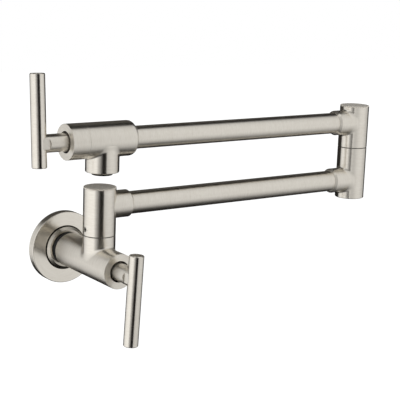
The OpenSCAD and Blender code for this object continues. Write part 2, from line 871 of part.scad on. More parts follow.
module lower_arm_tube() {
    color("#c8c4b9") tube(tube_start, arm_l - tube_start, lower_arm_z);
}

module lower_arm_seals() {
    color("#e6e4dc") {
        tube_seal(socket_floor, lower_arm_z);
        tube_seal(arm_l - tube_start, lower_arm_z);
    }
}

module elbow_base() {
    body_h = elbow_seam_z - seam_gap / 2 - elbow_foot_z;
    bore_h = body_h + seam_gap / 2 - elbow_floor - elbow_thread_l;
    color("#c8c4b9") difference() {
        union() {
            at_elbow(elbow_foot_z) beveled_bar(post_r, body_h, foot_bevel, 0);
            at_elbow(lower_arm_z) rotate([0, 0, 180]) socket(lower_socket_reach);
        }
        at_elbow(elbow_foot_z + elbow_floor) cylinder(r = swivel_bore_r, h = bore_h);
        at_elbow(elbow_seam_z - elbow_thread_l) cylinder(r = spigot_thread_r, h = elbow_thread_l);
        at_elbow(lower_arm_z) rotate([0, 0, 180]) socket_bore(lower_socket_reach);
    }
}

module elbow_spigot() {
    color("#b8964e") at_elbow(elbow_seam_z) spigot(upper_arm_rise, elbow_thread_l);
}

module elbow_o_rings() {
    color("#1c1c1c") at_elbow(elbow_seam_z) spigot_o_rings(upper_arm_rise);
}

module elbow_slip_washer() {
    color("#20201e") at_elbow(elbow_seam_z) slip_washer();
}

// Upper arm

module elbow_head() {
    head_z = elbow_seam_z + seam_gap / 2;
    body_h = elbow_top_z - cap_head_t - head_z;
    color("#c8c4b9") difference() {
        union() {
            at_elbow(head_z) cylinder(r = post_r, h = body_h);
            at_elbow(upper_arm_z) rotate([0, 0, 180]) socket(upper_socket_reach);
        }
        at_elbow(head_z - over) cylinder(r = swivel_bore_r, h = body_h + 2 * over);
        at_elbow(head_z + body_h - cap_plug_l - cap_recess) cylinder(r = cap_plug_r, h = elbow_top_z);
        at_elbow(upper_arm_z) rotate([0, 0, 180]) socket_bore(upper_socket_reach);
        at_elbow(elbow_seam_z + grub_rise)
            rotate([-90, 0, 0]) cylinder(r = grub_r + fit_gap, h = post_r + over);
    }
}

module elbow_cap() {
    color("#c8c4b9") at_elbow(0) cap(elbow_top_z);
}

module elbow_cap_o_ring() {
    color("#1c1c1c") at_elbow(0) cap_o_ring(elbow_top_z);
}

module elbow_grub_screw() {
    color("#8d8d8b") at_elbow(elbow_seam_z + grub_rise) rotate([0, 0, 90]) swivel_grub_screw();
}

module upper_arm_tube() {
    color("#c8c4b9") tube(spout_tube_x, arm_l - tube_start, upper_arm_z);
}

module upper_arm_seals() {
    color("#e6e4dc") {
        tube_seal(spout_socket_x, upper_arm_z);
        tube_seal(arm_l - tube_start, upper_arm_z);
    }
}

// The spout's outside: a barrel with a rounded end at the tube, and its outlet
module spout_outside() {
    barrel_l = spout_end_x - sleeve_x;
    rounded_end = quarter_round(spout_r, barrel_l, spout_round_r);
    along_arm(sleeve_x, upper_arm_z)
        rotate_extrude() polygon(concat([[0, 0], [spout_r, 0]], rounded_end, [[0, barrel_l]]));
    along_arm(sleeve_x - sleeve_thread_l, upper_arm_z)
        cylinder(r = sleeve_thread_r - fit_gap, h = sleeve_thread_l + over);
    translate([outlet_x, post_y, outlet_foot_z]) beveled_bar(outlet_r, outlet_drop, outlet_bevel, 0);
}

module spout_body() {
    color("#c8c4b9") difference() {
        spout_outside();
        at_spout_seat() cylinder(r = chamber_r, h = spout_face_t);
        at_spout_seat()
            translate([0, 0, -seat_wall - over]) cylinder(r = seat_bore_r, h = seat_wall + 2 * over);
        along_arm(spout_socket_x, upper_arm_z) cylinder(r = tube_r + fit_gap, h = spout_back);
        translate([outlet_x, post_y, outlet_foot_z])
            cylinder(r = passage_r, h = outlet_drop - passage_start_share * chamber_r);
        translate([outlet_x, post_y, outlet_foot_z])
            cylinder(r = outlet_bore_r, h = outlet_bore_top_z - outlet_foot_z);
        translate([outlet_x, post_y, outlet_foot_z - over])
            cylinder(r = aerator_thread_r, h = aerator_thread_l + aerator_washer_t + over);
    }
}

module spout_sleeve_nut() {
    color("#c8c4b9") along_arm(spout_face_x, upper_arm_z) difference() {
        beveled_bar(spout_r, sleeve_l, edge_break, 0);
        translate([0, 0, -over]) cylinder(r = face_hole_r, h = sleeve_l + 2 * over);
        translate([0, 0, sleeve_face_t]) cylinder(r = spout_r - sleeve_skirt_wall, h = sleeve_l);
        translate([0, 0, sleeve_l - sleeve_thread_l - edge_break])
            cylinder(r = sleeve_thread_r, h = sleeve_l);
    }
}

module spout_cartridge_housing() {
    color("#b8964e") at_spout_seat() cartridge_housing();
}

module spout_seat_seal() {
    color("#1c1c1c") at_spout_seat() seat_seal();
}

module spout_fixed_disc() {
    color("#f2f0ea") at_spout_seat() fixed_disc();
}

module spout_housing_o_ring() {
    color("#1c1c1c") at_spout_seat() housing_o_ring();
}

module aerator_shell() {
    shell_h = aerator_rim_h + aerator_thread_l;
    color("#3a3936") translate([outlet_x, post_y, outlet_foot_z - aerator_rim_h]) difference() {
        union() {
            beveled_bar(aerator_rim_r, shell_h, aerator_rim_round, 0);
            translate([0, 0, aerator_rim_h]) cylinder(r = aerator_thread_r - fit_gap, h = aerator_thread_l);
        }
        translate([0, 0, -over])
            cylinder(r = min(aerator_rim_r, aerator_bore_r) - aerator_lip, h = shell_h + 2 * over);
        translate([0, 0, aerator_rim_h + aerator_lip_h]) cylinder(r = aerator_bore_r, h = shell_h);
    }
}

// The aerator's honeycomb: rows of hexagonal cells inside a plain border
module aerator_insert() {
    field_r = aerator_bore_r - cell_border - cell_pitch / 2;
    rows = ceil(field_r / cell_pitch) + 1;
    foot_z = outlet_foot_z + aerator_lip_h;
    color("#d8d6cf") translate([outlet_x, post_y, foot_z]) difference() {
        cylinder(r = aerator_bore_r - fit_gap, h = insert_h);
        for (row = [-rows:rows])
            for (column = [-rows:rows]) {
                cell_x = (column + row / 2) * cell_pitch;
                cell_y = row * cell_pitch * sin(60);
                if (norm([cell_x, cell_y]) < field_r)
                    translate([cell_x, cell_y, -over]) rotate([0, 0, 30])
                        hexagon(cell_pitch - cell_wall, insert_h + 2 * over);
            }
    }
}

module aerator_washer() {
    color("#1c1c1c") translate([outlet_x, post_y, outlet_foot_z + aerator_thread_l])
        ring(aerator_thread_r - fit_gap, outlet_bore_r, aerator_washer_t);
}

// Spout handle

module spout_moving_disc() {
    color("#e4e1d8") at_spout_seat() moving_disc();
}

module spout_spindle() {
    color("#c2a25a") at_spout_seat() spindle(spout_lean);
}

module spout_spindle_o_rings() {
    color("#1c1c1c") at_spout_seat() spindle_o_rings();
}

module spout_spindle_clip() {
    color("#8d8d8b") at_spout_seat() spindle_clip();
}

module spout_handle_hub() {
    color("#c8c4b9") at_spout_seat() hub(spout_lean, spout_face_t, spout_screw_from_end);
}

module spout_handle_grub_screw() {
    color("#4a4a48") at_spout_seat() hub_grub_screw(spout_lean, spout_screw_from_end);
}

module spout_bar_screw() {
    color("#8d8d8b") at_spout_seat() bar_screw(spout_face_t);
}

module spout_handle_bar() {
    color("#c8c4b9") at_spout_seat() bar(spout_lean, spout_face_t);
}

escutcheon();
wall_gasket();
escutcheon_o_ring();
inlet_collar();
inlet_o_ring();
valve_body();
wall_cover_ring();
wall_cartridge_housing();
wall_seat_seal();
wall_fixed_disc();
wall_housing_o_ring();
swivel_spigot();
swivel_o_rings();
swivel_slip_washer();
wall_moving_disc();
wall_spindle();
wall_spindle_o_rings();
wall_spindle_clip();
wall_handle_hub();
wall_handle_grub_screw();
wall_bar_screw();
wall_handle_bar();
swivel_post();
post_cap();
post_cap_o_ring();
post_grub_screw();
lower_arm_tube();
lower_arm_seals();
elbow_base();
elbow_spigot();
elbow_o_rings();
elbow_slip_washer();
elbow_head();
elbow_cap();
elbow_cap_o_ring();
elbow_grub_screw();
upper_arm_tube();
upper_arm_seals();
spout_body();
spout_sleeve_nut();
spout_cartridge_housing();
spout_seat_seal();
spout_fixed_disc();
spout_housing_o_ring();
aerator_shell();
aerator_insert();
aerator_washer();
spout_moving_disc();
spout_spindle();
spout_spindle_o_rings();
spout_spindle_clip();
spout_handle_hub();
spout_handle_grub_screw();
spout_bar_screw();
spout_handle_bar();
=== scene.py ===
# Wall-mounted folding pot filler in brushed nickel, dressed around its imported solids.
import json
import math

import bpy
import numpy as np
from mathutils import Matrix


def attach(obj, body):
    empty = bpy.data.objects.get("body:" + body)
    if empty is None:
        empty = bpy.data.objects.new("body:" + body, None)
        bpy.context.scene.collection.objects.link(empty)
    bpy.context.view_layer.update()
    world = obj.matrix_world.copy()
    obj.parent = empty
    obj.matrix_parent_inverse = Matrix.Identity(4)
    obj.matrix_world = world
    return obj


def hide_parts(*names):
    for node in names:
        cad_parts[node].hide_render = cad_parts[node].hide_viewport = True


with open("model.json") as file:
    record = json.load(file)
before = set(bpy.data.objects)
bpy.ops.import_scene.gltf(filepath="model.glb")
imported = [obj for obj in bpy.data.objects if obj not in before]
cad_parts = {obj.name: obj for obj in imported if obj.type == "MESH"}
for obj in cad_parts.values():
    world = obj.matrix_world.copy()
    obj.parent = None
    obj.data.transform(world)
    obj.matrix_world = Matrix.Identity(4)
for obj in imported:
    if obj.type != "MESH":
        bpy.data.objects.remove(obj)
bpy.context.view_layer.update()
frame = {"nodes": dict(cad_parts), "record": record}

mm = 0.001
tiny = 1e-12  # keeps a division by a zero length safe
xAxis, yAxis, zAxis = np.eye(3)

# Places that the pieces share, in mm. The barrel's axis meets the wall at the origin.
place = dict(
    postY=-63.3,  # the arms' plane in front of the wall
    armLength=275,  # from the post's axis to the elbow's axis
    lowerArmZ=47.7,
    upperArmZ=102.1,
    outletX=1.7,  # the outlet's axis, a little right of the post's
)
postY, lowerZ, upperZ, outletX = (place[key] for key in ("postY", "lowerArmZ", "upperArmZ", "outletX"))
wallCentre = (0, 0, 0)
postCentre = (0, postY, 0)
elbowCentre = (place["armLength"], postY, 0)
outletCentre = (outletX, postY, 0)
lowerAxis, upperAxis = (0, postY, lowerZ), (0, postY, upperZ)

# The camera of the photo, fitted to the part's straight edges
cameraSettings = dict(
    position=(-476.77, -863.97, 251.80),  # mm
    azimuth=-35.789,  # degrees, like the next two
    elevation=11.941,
    roll=2.107,
    lens=105.04,
    clip=(0.01, 100),  # metres
)


def makeCamera(settings):
    # The view direction comes from azimuth and elevation, then the picture is rolled about it.
    az, el, roll = (math.radians(settings[key]) for key in ("azimuth", "elevation", "roll"))
    back = np.array([math.sin(az) * math.cos(el), -math.cos(az) * math.cos(el), math.sin(el)])
    right = np.cross(-back, zAxis)
    right /= np.linalg.norm(right)
    up = np.cross(right, -back)
    rolledRight = math.cos(roll) * right + math.sin(roll) * up
    rolledUp = -math.sin(roll) * right + math.cos(roll) * up
    data = bpy.data.cameras.new("camera")
    data.lens = settings["lens"]
    data.clip_start, data.clip_end = settings["clip"]
    camera = bpy.data.objects.new("camera", data)
    turn = np.eye(4)
    turn[:3, 0], turn[:3, 1], turn[:3, 2] = rolledRight, rolledUp, back
    turn[:3, 3] = np.array(settings["position"]) * mm
    camera.matrix_world = Matrix(turn.tolist())
    bpy.context.collection.objects.link(camera)
    bpy.context.scene.camera = camera


makeCamera(cameraSettings)

# Shapes are grids of points that carry their own normals.
sharpRound = 0.06  # mm, the rounding of a corner that names none
arcSteps = 5  # faces across one rounding
mergeScale = 1e8  # per metre: points that round to the same place are one
samePoint = 1e-7  # mm


def unit(v):
    return v / np.maximum(np.linalg.norm(v, axis=-1, keepdims=True), tiny)


def fullTurn(count):
    return np.linspace(0, 2 * math.pi, count + 1)


# A turned outline. Each corner (radius, height, rounding) becomes an arc tangent to its two edges:
# arc point = centre + side * rounding * normal, while the normal swings evenly from edge to edge.
# The solid lies to the left of the outline, so its normals point to the right.
def roundOutline(corners, closed=False):
    data = np.array([(c[0], c[1], c[2] if len(c) > 2 else sharpRound) for c in corners], float)
    p, rounding = data[:, :2], data[:, 2].copy()
    before = p - np.roll(p, 1, axis=0)
    after = np.roll(p, -1, axis=0) - p
    if not closed:
        before[0], after[-1] = after[0], before[-1]
        rounding[0] = rounding[-1] = 0
    before, after = unit(before), unit(after)
    cross = before[:, 0] * after[:, 1] - before[:, 1] * after[:, 0]
    turn = np.arctan2(cross, (before * after).sum(1))
    side = np.sign(turn)
    normal = np.stack([before[:, 1], -before[:, 0]], axis=1)
    start = p - before * (rounding * np.abs(np.tan(turn / 2)))[:, None]
    centre = start - normal * (rounding * side)[:, None]
    angle = turn[:, None] * np.linspace(0, 1, arcSteps + 1)
    normalR = normal[:, :1] * np.cos(angle) - normal[:, 1:] * np.sin(angle)
    normalZ = normal[:, :1] * np.sin(angle) + normal[:, 1:] * np.cos(angle)
    swung = np.stack([normalR, normalZ], axis=2)
    points = centre[:, None] + (rounding * side)[:, None, None] * swung
    points, swung = points.reshape(-1, 2), swung.reshape(-1, 2)
    fresh = np.r_[True, np.linalg.norm(np.diff(points, axis=0), axis=1) > samePoint]
    points, swung = points[fresh], swung[fresh]
    if closed:
        points, swung = np.vstack([points, points[:1]]), np.vstack([swung, swung[:1]])
    return points, swung


# A turned surface: point = origin + height * axis + radius * (cos angle * u + sin angle * v).
def turnedGrid(outline, origin, axis, u, v, angles):
    points, normals = outline
    spoke = (np.cos(angles)[:, None] * u + np.sin(angles)[:, None] * v)[:, None]
    surface = np.asarray(origin, float) + points[None, :, 1:] * axis + points[None, :, :1] * spoke
    slope = normals[None, :, 1:] * axis + normals[None, :, :1] * spoke
    return surface, slope


def gridQuads(rows, columns):
    index = np.arange(rows * columns).reshape(rows, columns)
    corners = [index[:-1, :-1], index[1:, :-1], index[1:, 1:], index[:-1, 1:]]
    return np.stack(corners, axis=2).reshape(-1, 4)


# Joins grids into one closed mesh: equal points are merged, quads that lose a side become triangles,
# and each grid is turned so that its faces agree with its normals.
def makePiece(name, grids, body, material, share=None):
    allPoints, allNormals, allShares, allQuads, offset = [], [], [], [], 0
    for i, (points, normals) in enumerate(grids):
        quads = gridQuads(*points.shape[:2])
        flat, flatNormals = points.reshape(-1, 3), normals.reshape(-1, 3)
        a, b, c, d = (flat[quads[:, k]] for k in range(4))
        facing = (np.cross(c - a, d - b) * flatNormals[quads].sum(1)).sum()
        allQuads.append((quads if facing > 0 else quads[:, ::-1]) + offset)
        allPoints.append(flat)
        allNormals.append(flatNormals)
        allShares.append(np.zeros(len(flat)) if share is None else share[i].reshape(-1))
        offset += len(flat)
    points, normals = np.vstack(allPoints) * mm, unit(np.vstack(allNormals))
    shares, quads = np.concatenate(allShares), np.vstack(allQuads)
    rounded = np.round(points * mergeScale).astype(np.int64)
    _, first, where = np.unique(rounded, axis=0, return_index=True, return_inverse=True)
    quads = where.reshape(-1)[quads]
    keep = quads != np.roll(quads, 1, axis=1)
    keep &= ~((quads == np.roll(quads, 2, axis=1)) & (keep.sum(1, keepdims=True) < 4))
    keep[keep.sum(1) < 3] = False
    corners = keep.sum(1)
    corners = corners[corners > 0]
    loops = quads[keep]
    mesh = bpy.data.meshes.new(name)
    mesh.vertices.add(len(first))
    mesh.vertices.foreach_set("co", points[first].ravel())
    mesh.loops.add(len(loops))
    mesh.loops.foreach_set("vertex_index", loops.astype(np.int32))
    mesh.polygons.add(len(corners))
    mesh.polygons.foreach_set("loop_start", np.r_[0, np.cumsum(corners)[:-1]].astype(np.int32))
    mesh.polygons.foreach_set("use_smooth", np.ones(len(corners), bool))
    mesh.update(calc_edges=True)
    mesh.validate()
    if share is not None:
        attribute = mesh.attributes.new("branchShare", "FLOAT", "POINT")
        attribute.data.foreach_set("value", shares[first].astype(np.float32))
    mesh.normals_split_custom_set_from_vertices(normals[first].tolist())
    mesh.materials.append(material)
    piece = bpy.data.objects.new(name, mesh)
    bpy.context.collection.objects.link(piece)
    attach(piece, body)
    return piece


# A piece turned on one axis, drawn as its outline.
def turnedPiece(name, node, body, outline, frameOf, material, closed=True, around=160):
    origin, axis, u, v = frameOf
    grid = turnedGrid(roundOutline(outline, closed), origin, axis, u, v, fullTurn(around))
    piece = makePiece(name, [grid], body, material)
    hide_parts(node)
    return piece


# Distance to the two cylinders of a tee, rounded where they meet: within the fillet the surface is a
# circle in the plane of the two distances, and elsewhere it is the nearer cylinder.
# The branch starts at height low, so that it adds nothing to the far side of the main cylinder.
def teeField(p, mainR, branchR, fillet, low):
    a, b, c = p[..., 0], p[..., 1], p[..., 2]
    mainRho, branchRho = np.hypot(b, c), np.hypot(a, c)
    zero = np.zeros_like(a)
    mainOut = np.stack([zero, b, c], -1) / np.maximum(mainRho, tiny)[..., None]
    spoke = np.stack([a, zero, c], -1) / np.maximum(branchRho, tiny)[..., None]
    dMain = mainRho - mainR
    beyond, below = branchRho - branchR, np.maximum(low - b, 0)
    dBranch = np.where(below > 0, np.hypot(np.maximum(beyond, 0), below), beyond)
    lift = np.stack([zero, -below, zero], -1)
    skirt = unit(np.maximum(beyond, 0)[..., None] * spoke + lift)
    branchOut = np.where((below > 0)[..., None], skirt, spoke)
    inMain, inBranch = np.maximum(fillet - dMain, 0), np.maximum(fillet - dBranch, 0)
    near = (inMain > 0) & (inBranch > 0)
    bend = np.hypot(inMain, inBranch)
    field = np.where(near, fillet - bend, np.minimum(dMain, dBranch))
    blend = inMain[..., None] * mainOut + inBranch[..., None] * branchOut
    blend = blend / np.maximum(bend, tiny)[..., None]
    single = np.where((dMain < dBranch)[..., None], mainOut, branchOut)
    slope = np.where(near[..., None], blend, single)
    mixed = inBranch / np.maximum(inMain + inBranch, tiny)
    share = np.where(near, mixed, (dBranch <= dMain).astype(float))
    return field, slope, share


teeMesh = dict(
    ringSteps=150,  # round each end of the main cylinder
    seamSteps=40,  # along the seam
    branchSteps=3,  # rows down the branch
    filletSteps=12,  # rows on each side of the crease
    mainSteps=34,  # rows from there to the border
    fineReach=2.4,  # the rows by the crease reach this many fillets
    fineShare=0.45,  # and at most this share of the way to the border
    startShare=0.1,  # the branch starts this share of a fillet below the crease's lowest point
    passes=12,  # moves of the points onto the rounded tee
)


# The border of a tee's outside: the ring at a1, the seam line, the ring at a0 and the seam line back,
# as heights along a and angles round it, with the angle phi round the branch that each one is joined to.
# With a hole, the seam line leaves the cylinder's line and goes round the hole's rim.
def teeBorder(tee, left, right):
    a0, a1, mainR = tee["a0"], tee["a1"], tee["mainR"]
    ringSteps, seamSteps = teeMesh["ringSteps"], tee.get("seamSteps", teeMesh["seamSteps"])
    ring = np.linspace(left, right, ringSteps + 1)
    seamA = np.linspace(a1, a0, seamSteps + 1)[1:-1]
    seamOff = np.zeros_like(seamA)
    hole = tee.get("hole")
    if hole:
        rim = hole["r"] + hole["edge"]
        above = np.linspace(a1, hole["a"] + rim, seamSteps // 2 + 1)[1:-1]
        under = np.linspace(hole["a"] - rim, a0, seamSteps // 2 + 1)[1:-1]
        swing = np.linspace(0, math.pi, hole["steps"] + 1)
        seamA = np.concatenate([above, hole["a"] + rim * np.cos(swing), under])
        across = np.concatenate([above * 0, rim * np.sin(swing), under * 0])
        seamOff = np.arcsin(across / mainR)
    top, foot = np.full(len(ring), a1), np.full(len(ring), a0)
    borderA = np.concatenate([top, seamA, foot, seamA[::-1], [a1]])
    borderTurn = np.concatenate([ring, right - seamOff, ring[::-1], left + seamOff[::-1], [left]])
    sizes = [ringSteps, len(seamA) + 1] * 2
    turnAt = [math.atan2(left * mainR, a1), math.atan2(right * mainR, a1), math.atan2(right * mainR, a0)]
    turnAt += [math.atan2(left * mainR, a0) + 2 * math.pi, turnAt[0] + 2 * math.pi]
    sides = [np.linspace(turnAt[i], turnAt[i + 1], sizes[i] + 1)[:-1] for i in range(4)]
    return ring, np.concatenate(sides + [turnAt[4:]]), borderA, borderTurn


# The wall of a screw's hole on the seam line: a quarter round off the surface, then straight in to a
# flat floor. Round the hole's centre, point = rho * (cos psi along a, sin psi along the tangent).
def holeWall(hole, mainR, right):
    edge, floor, floorBevel = hole["edge"], hole["floor"], hole["floorBevel"]
    psi = fullTurn(2 * hole["steps"])
    bend = np.linspace(0, math.pi / 2, arcSteps + 1)
    rho = hole["r"] + edge - edge * np.sin(bend)
    rho = np.concatenate([rho, [hole["r"], hole["r"] - floorBevel, 0]])
    across = rho[None] * np.sin(psi)[:, None]
    depth = np.sqrt(mainR**2 - across**2)
    depth[:, : len(bend)] -= edge * (1 - np.cos(bend))
    depth[:, len(bend)], depth[:, len(bend) + 1 :] = floor + floorBevel, floor
    out = np.array([0, math.cos(right), math.sin(right)])
    tangent = np.array([0, -math.sin(right), math.cos(right)])
    wall = (hole["a"] + rho[None] * np.cos(psi)[:, None])[..., None] * xAxis
    wall = wall + depth[..., None] * out + across[..., None] * tangent
    spoke = np.cos(psi)[:, None, None] * xAxis + np.sin(psi)[:, None, None] * tangent
    rimDepth = np.sqrt(mainR**2 - across[:, :1] ** 2)
    surface = unit(rimDepth[..., None] * out + across[:, :1, None] * tangent)
    lean = np.concatenate([bend, [math.pi / 2]])[None, :, None]
    normals = np.cos(lean) * surface - np.sin(lean) * spoke
    flatNormals = np.broadcast_to(out, (len(psi), 2, 3))
    return wall, np.concatenate([normals, flatNormals], axis=1)


# A tee: a main cylinder along a, from a0 to a1, with a branch along b. Its outside is one grid. Each
# column starts at the branch's end, runs down the branch to the crease, and then straight over the
# unrolled main cylinder to a border of two end rings and one seam line, which closes on itself.
# Every point is then moved along the slope of teeField until it lies on the rounded tee.
# The seam is opposite the branch unless tee["seam"] names another angle, in degrees.
def teeGrids(tee):
    mainR, branchR, fillet, reach = (tee[key] for key in ("mainR", "branchR", "fillet", "reach"))
    right = math.radians(tee.get("seam", 180))
    ring, phi, borderA, borderTurn = teeBorder(tee, right - 2 * math.pi, right)
    footA, footC = branchR * np.cos(phi), branchR * np.sin(phi)
    crease = np.sqrt(mainR**2 - footC**2)[:, None]
    fineReach = fillet * teeMesh["fineReach"]
    filletRows = teeMesh["filletSteps"] + 1
    # down the branch
    t = np.linspace(0, 1, teeMesh["branchSteps"] + 1)[:-1]
    straight = reach + (crease + fineReach - reach) * t
    branchB = np.concatenate([straight, crease + fineReach * np.linspace(1, 0, filletRows)], axis=1)
    branch = np.stack(np.broadcast_arrays(footA[:, None], branchB, footC[:, None]), axis=2)
    # over the main cylinder
    foot = np.stack([footA, np.arcsin(footC / mainR) * mainR], axis=1)
    goal = np.stack([borderA, borderTurn * mainR], axis=1)
    step = fineReach / np.linalg.norm(goal - foot, axis=1, keepdims=True)
    step = np.minimum(step, teeMesh["fineShare"])
    fine = step * np.linspace(0, 1, filletRows)[1:]
    coarse = step + (1 - step) * np.linspace(0, 1, teeMesh["mainSteps"] + 1)[1:]
    t = np.concatenate([fine, coarse], axis=1)
    flat = foot[:, None] + (goal - foot)[:, None] * t[..., None]
    flatA, turn = flat[..., 0], flat[..., 1] / mainR
    flatA[:, -1], turn[:, -1] = borderA, borderTurn
    main = np.stack([flatA, mainR * np.cos(turn), mainR * np.sin(turn)], axis=2)
    # onto the rounded tee, while both borders stay where they are
    p = np.concatenate([branch, main], axis=1)
    fixed = p.copy()
    low = math.sqrt(mainR**2 - branchR**2) - teeMesh["startShare"] * fillet
    for _ in range(teeMesh["passes"]):
        field, slope, share = teeField(p, mainR, branchR, fillet, low)
        p = p - (field / np.maximum((slope**2).sum(-1), tiny))[..., None] * slope
    p[:, 0], p[:, -1] = fixed[:, 0], fixed[:, -1]
    field, slope, share = teeField(p, mainR, branchR, fillet, low)
    grids, shares = [(p, slope)], [share]
    # the ends are turned outlines that start on the borders
    branchEnd = turnedGrid(roundOutline(tee["branchEnd"]), (0, 0, 0), yAxis, xAxis, zAxis, phi)
    grids.append(branchEnd)
    shares.append(np.ones(branchEnd[0].shape[:2]))
    for outline in tee["mainEnds"]:
        grids.append(turnedGrid(roundOutline(outline), (0, 0, 0), xAxis, yAxis, zAxis, ring))
    if "hole" in tee:
        grids.append(holeWall(tee["hole"], mainR, right))
    shares += [np.zeros(points.shape[:2]) for points, _ in grids[2:]]
    return grids, shares


# A tee is drawn in its own axes (a, b, c) and then set in the model's.
def teePiece(name, node, body, tee, origin, a, b, material):
    grids, shares = teeGrids(tee)
    axes = np.stack([a, b, np.cross(a, b)])
    grids = [(p @ axes + np.asarray(origin, float), n @ axes) for p, n in grids]
    piece = makePiece(name, grids, body, material, shares)
    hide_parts(node)
    return piece


# Materials. Colours are written as sRGB, and its own curve turns them to linear.
def linearColour(text):
    c = np.array([int(text[i : i + 2], 16) / 255 for i in (1, 3, 5)])
    c = np.where(c <= 0.04045, c / 12.92, ((c + 0.055) / 1.055) ** 2.4)
    return (*c.tolist(), 1)


white = linearColour("#FFFFFF")


def addNode(tree, kind, inputs=None, **settings):
    node = tree.nodes.new(kind)
    for key, value in settings.items():
        setattr(node, key, value)
    for key, value in (inputs or {}).items():
        if isinstance(value, bpy.types.NodeSocket):
            tree.links.new(value, node.inputs[key])
        else:
            node.inputs[key].default_value = value
    return node


def newMaterial(name):
    material = bpy.data.materials.new(name)
    material.use_nodes = True
    tree = material.node_tree
    tree.nodes.clear()
    return material, tree


def finishMaterial(tree, shader):
    addNode(tree, "ShaderNodeOutputMaterial", {"Surface": shader.outputs[0]})


# Coordinates of a turned or brushed surface about one axis. The tool's lines run round the axis, so the
# pattern is fine along the axis (in the vector) and along the radius (in the fourth coordinate), and
# slow round the axis. The groove is the lines' own direction.
def lathePattern(tree, axis, centre, look):
    vectorMath = "ShaderNodeVectorMath"
    axis, centre, fineScale = tuple(axis), tuple(np.array(centre) * mm), look["linesPerMillimetre"] / mm
    position = addNode(tree, "ShaderNodeTexCoord").outputs["Object"]
    offset = addNode(tree, vectorMath, {0: position, 1: centre}, operation="SUBTRACT").outputs[0]
    height = addNode(tree, vectorMath, {0: offset, 1: axis}, operation="DOT_PRODUCT").outputs["Value"]
    along = addNode(tree, vectorMath, {0: axis, "Scale": height}, operation="SCALE").outputs[0]
    radial = addNode(tree, vectorMath, {0: offset, 1: along}, operation="SUBTRACT").outputs[0]
    radius = addNode(tree, vectorMath, {0: radial}, operation="LENGTH").outputs["Value"]
    spoke = addNode(tree, vectorMath, {0: radial}, operation="NORMALIZE").outputs[0]
    slow = addNode(tree, vectorMath, {0: spoke, "Scale": look["strokes"]}, operation="SCALE").outputs[0]
    fine = addNode(tree, vectorMath, {0: along, "Scale": fineScale}, operation="SCALE").outputs[0]
    vector = addNode(tree, vectorMath, {0: slow, 1: fine}, operation="ADD").outputs[0]
    fourth = addNode(tree, "ShaderNodeMath", {0: radius, 1: fineScale}, operation="MULTIPLY").outputs[0]
    groove = addNode(tree, vectorMath, {0: axis, 1: radial}, operation="CROSS_PRODUCT").outputs[0]
    return vector, fourth, groove


brushedNickelLook = dict(
    colour="#F1ECE2",
    shade="#E7E1D6",
    roughness=0.277,
    anisotropy=0.93,
    linesPerMillimetre=1.3,  # real grit leaves about 8, too fine to show, so they are drawn coarser
    strokes=3,  # how often a line changes on its way round
    bandScale=0.31,  # broad bands among the lines, as a share of the lines' own scale
    bandShare=0.45,  # the bands' weight in the tone
    toneLow=0.45,
    toneHigh=1.0,
    bumpHeight=0.0004,  # mm
)


# Brushed nickel plate: electroplated brass, brushed while it turns. The fine lines run round every
# cylinder and face, so reflections are sharp round the axis and drawn out along it.
# The Mix node's sockets by number: 2 and 3 take numbers, 4 and 5 vectors, 6 and 7 colours.
def brushedNickel(name, *axes, **finish):
    look = dict(brushedNickelLook, **finish)
    material, tree = newMaterial(name)
    vector, fourth, groove = lathePattern(tree, *axes[0], look)
    if len(axes) > 1:  # a tee: the branch has lines of its own
        share = addNode(tree, "ShaderNodeAttribute", attribute_name="branchShare").outputs["Fac"]
        vector2, fourth2, groove2 = lathePattern(tree, *axes[1], look)
        mix = "ShaderNodeMix"
        vector = addNode(tree, mix, {0: share, 4: vector, 5: vector2}, data_type="VECTOR").outputs[1]
        groove = addNode(tree, mix, {0: share, 4: groove, 5: groove2}, data_type="VECTOR").outputs[1]
        fourth = addNode(tree, mix, {0: share, 2: fourth, 3: fourth2}, data_type="FLOAT").outputs[0]
    noise = dict(noise_dimensions="4D", normalize=True)
    lines = addNode(tree, "ShaderNodeTexNoise", {
        "Vector": vector, "W": fourth, "Scale": 1, "Detail": 1, "Roughness": 0.5}, **noise).outputs[0]
    bands = addNode(tree, "ShaderNodeTexNoise", {
        "Vector": vector, "W": fourth, "Scale": look["bandScale"], "Detail": 1}, **noise).outputs[0]
    both = addNode(tree, "ShaderNodeMath", {
        0: bands, 1: look["bandShare"], 2: lines}, operation="MULTIPLY_ADD").outputs[0]
    tone = addNode(tree, "ShaderNodeMapRange", {
        0: both, 1: look["toneLow"], 2: look["toneHigh"], 3: 0, 4: 1}).outputs[0]
    colour, shade = linearColour(look["colour"]), linearColour(look["shade"])
    tint = addNode(tree, "ShaderNodeMix", {0: tone, 6: shade, 7: colour}, data_type="RGBA").outputs[2]
    bump = addNode(tree, "ShaderNodeBump", {
        "Height": lines, "Strength": 1, "Distance": look["bumpHeight"] * mm}).outputs[0]
    tangent = addNode(tree, "ShaderNodeVectorTransform", {0: groove}, vector_type="VECTOR",
                      convert_from="OBJECT", convert_to="WORLD").outputs[0]
    finishMaterial(tree, addNode(tree, "ShaderNodeBsdfPrincipled", {
        "Base Color": tint, "Metallic": 1, "Roughness": look["roughness"],
        "Anisotropic": look["anisotropy"], "Anisotropic Rotation": 0.25, "Tangent": tangent,
        "Normal": bump}))
    return material


grainLook = dict(
    detail=3,
    low=0.3, high=0.7,  # the part of the noise's range that moves the roughness
    roughnessSwing=0.08,  # how far it moves either way
    cloudScale=0.12, cloudDetail=2,  # the tint changes over clouds, which are coarser than the grain
)


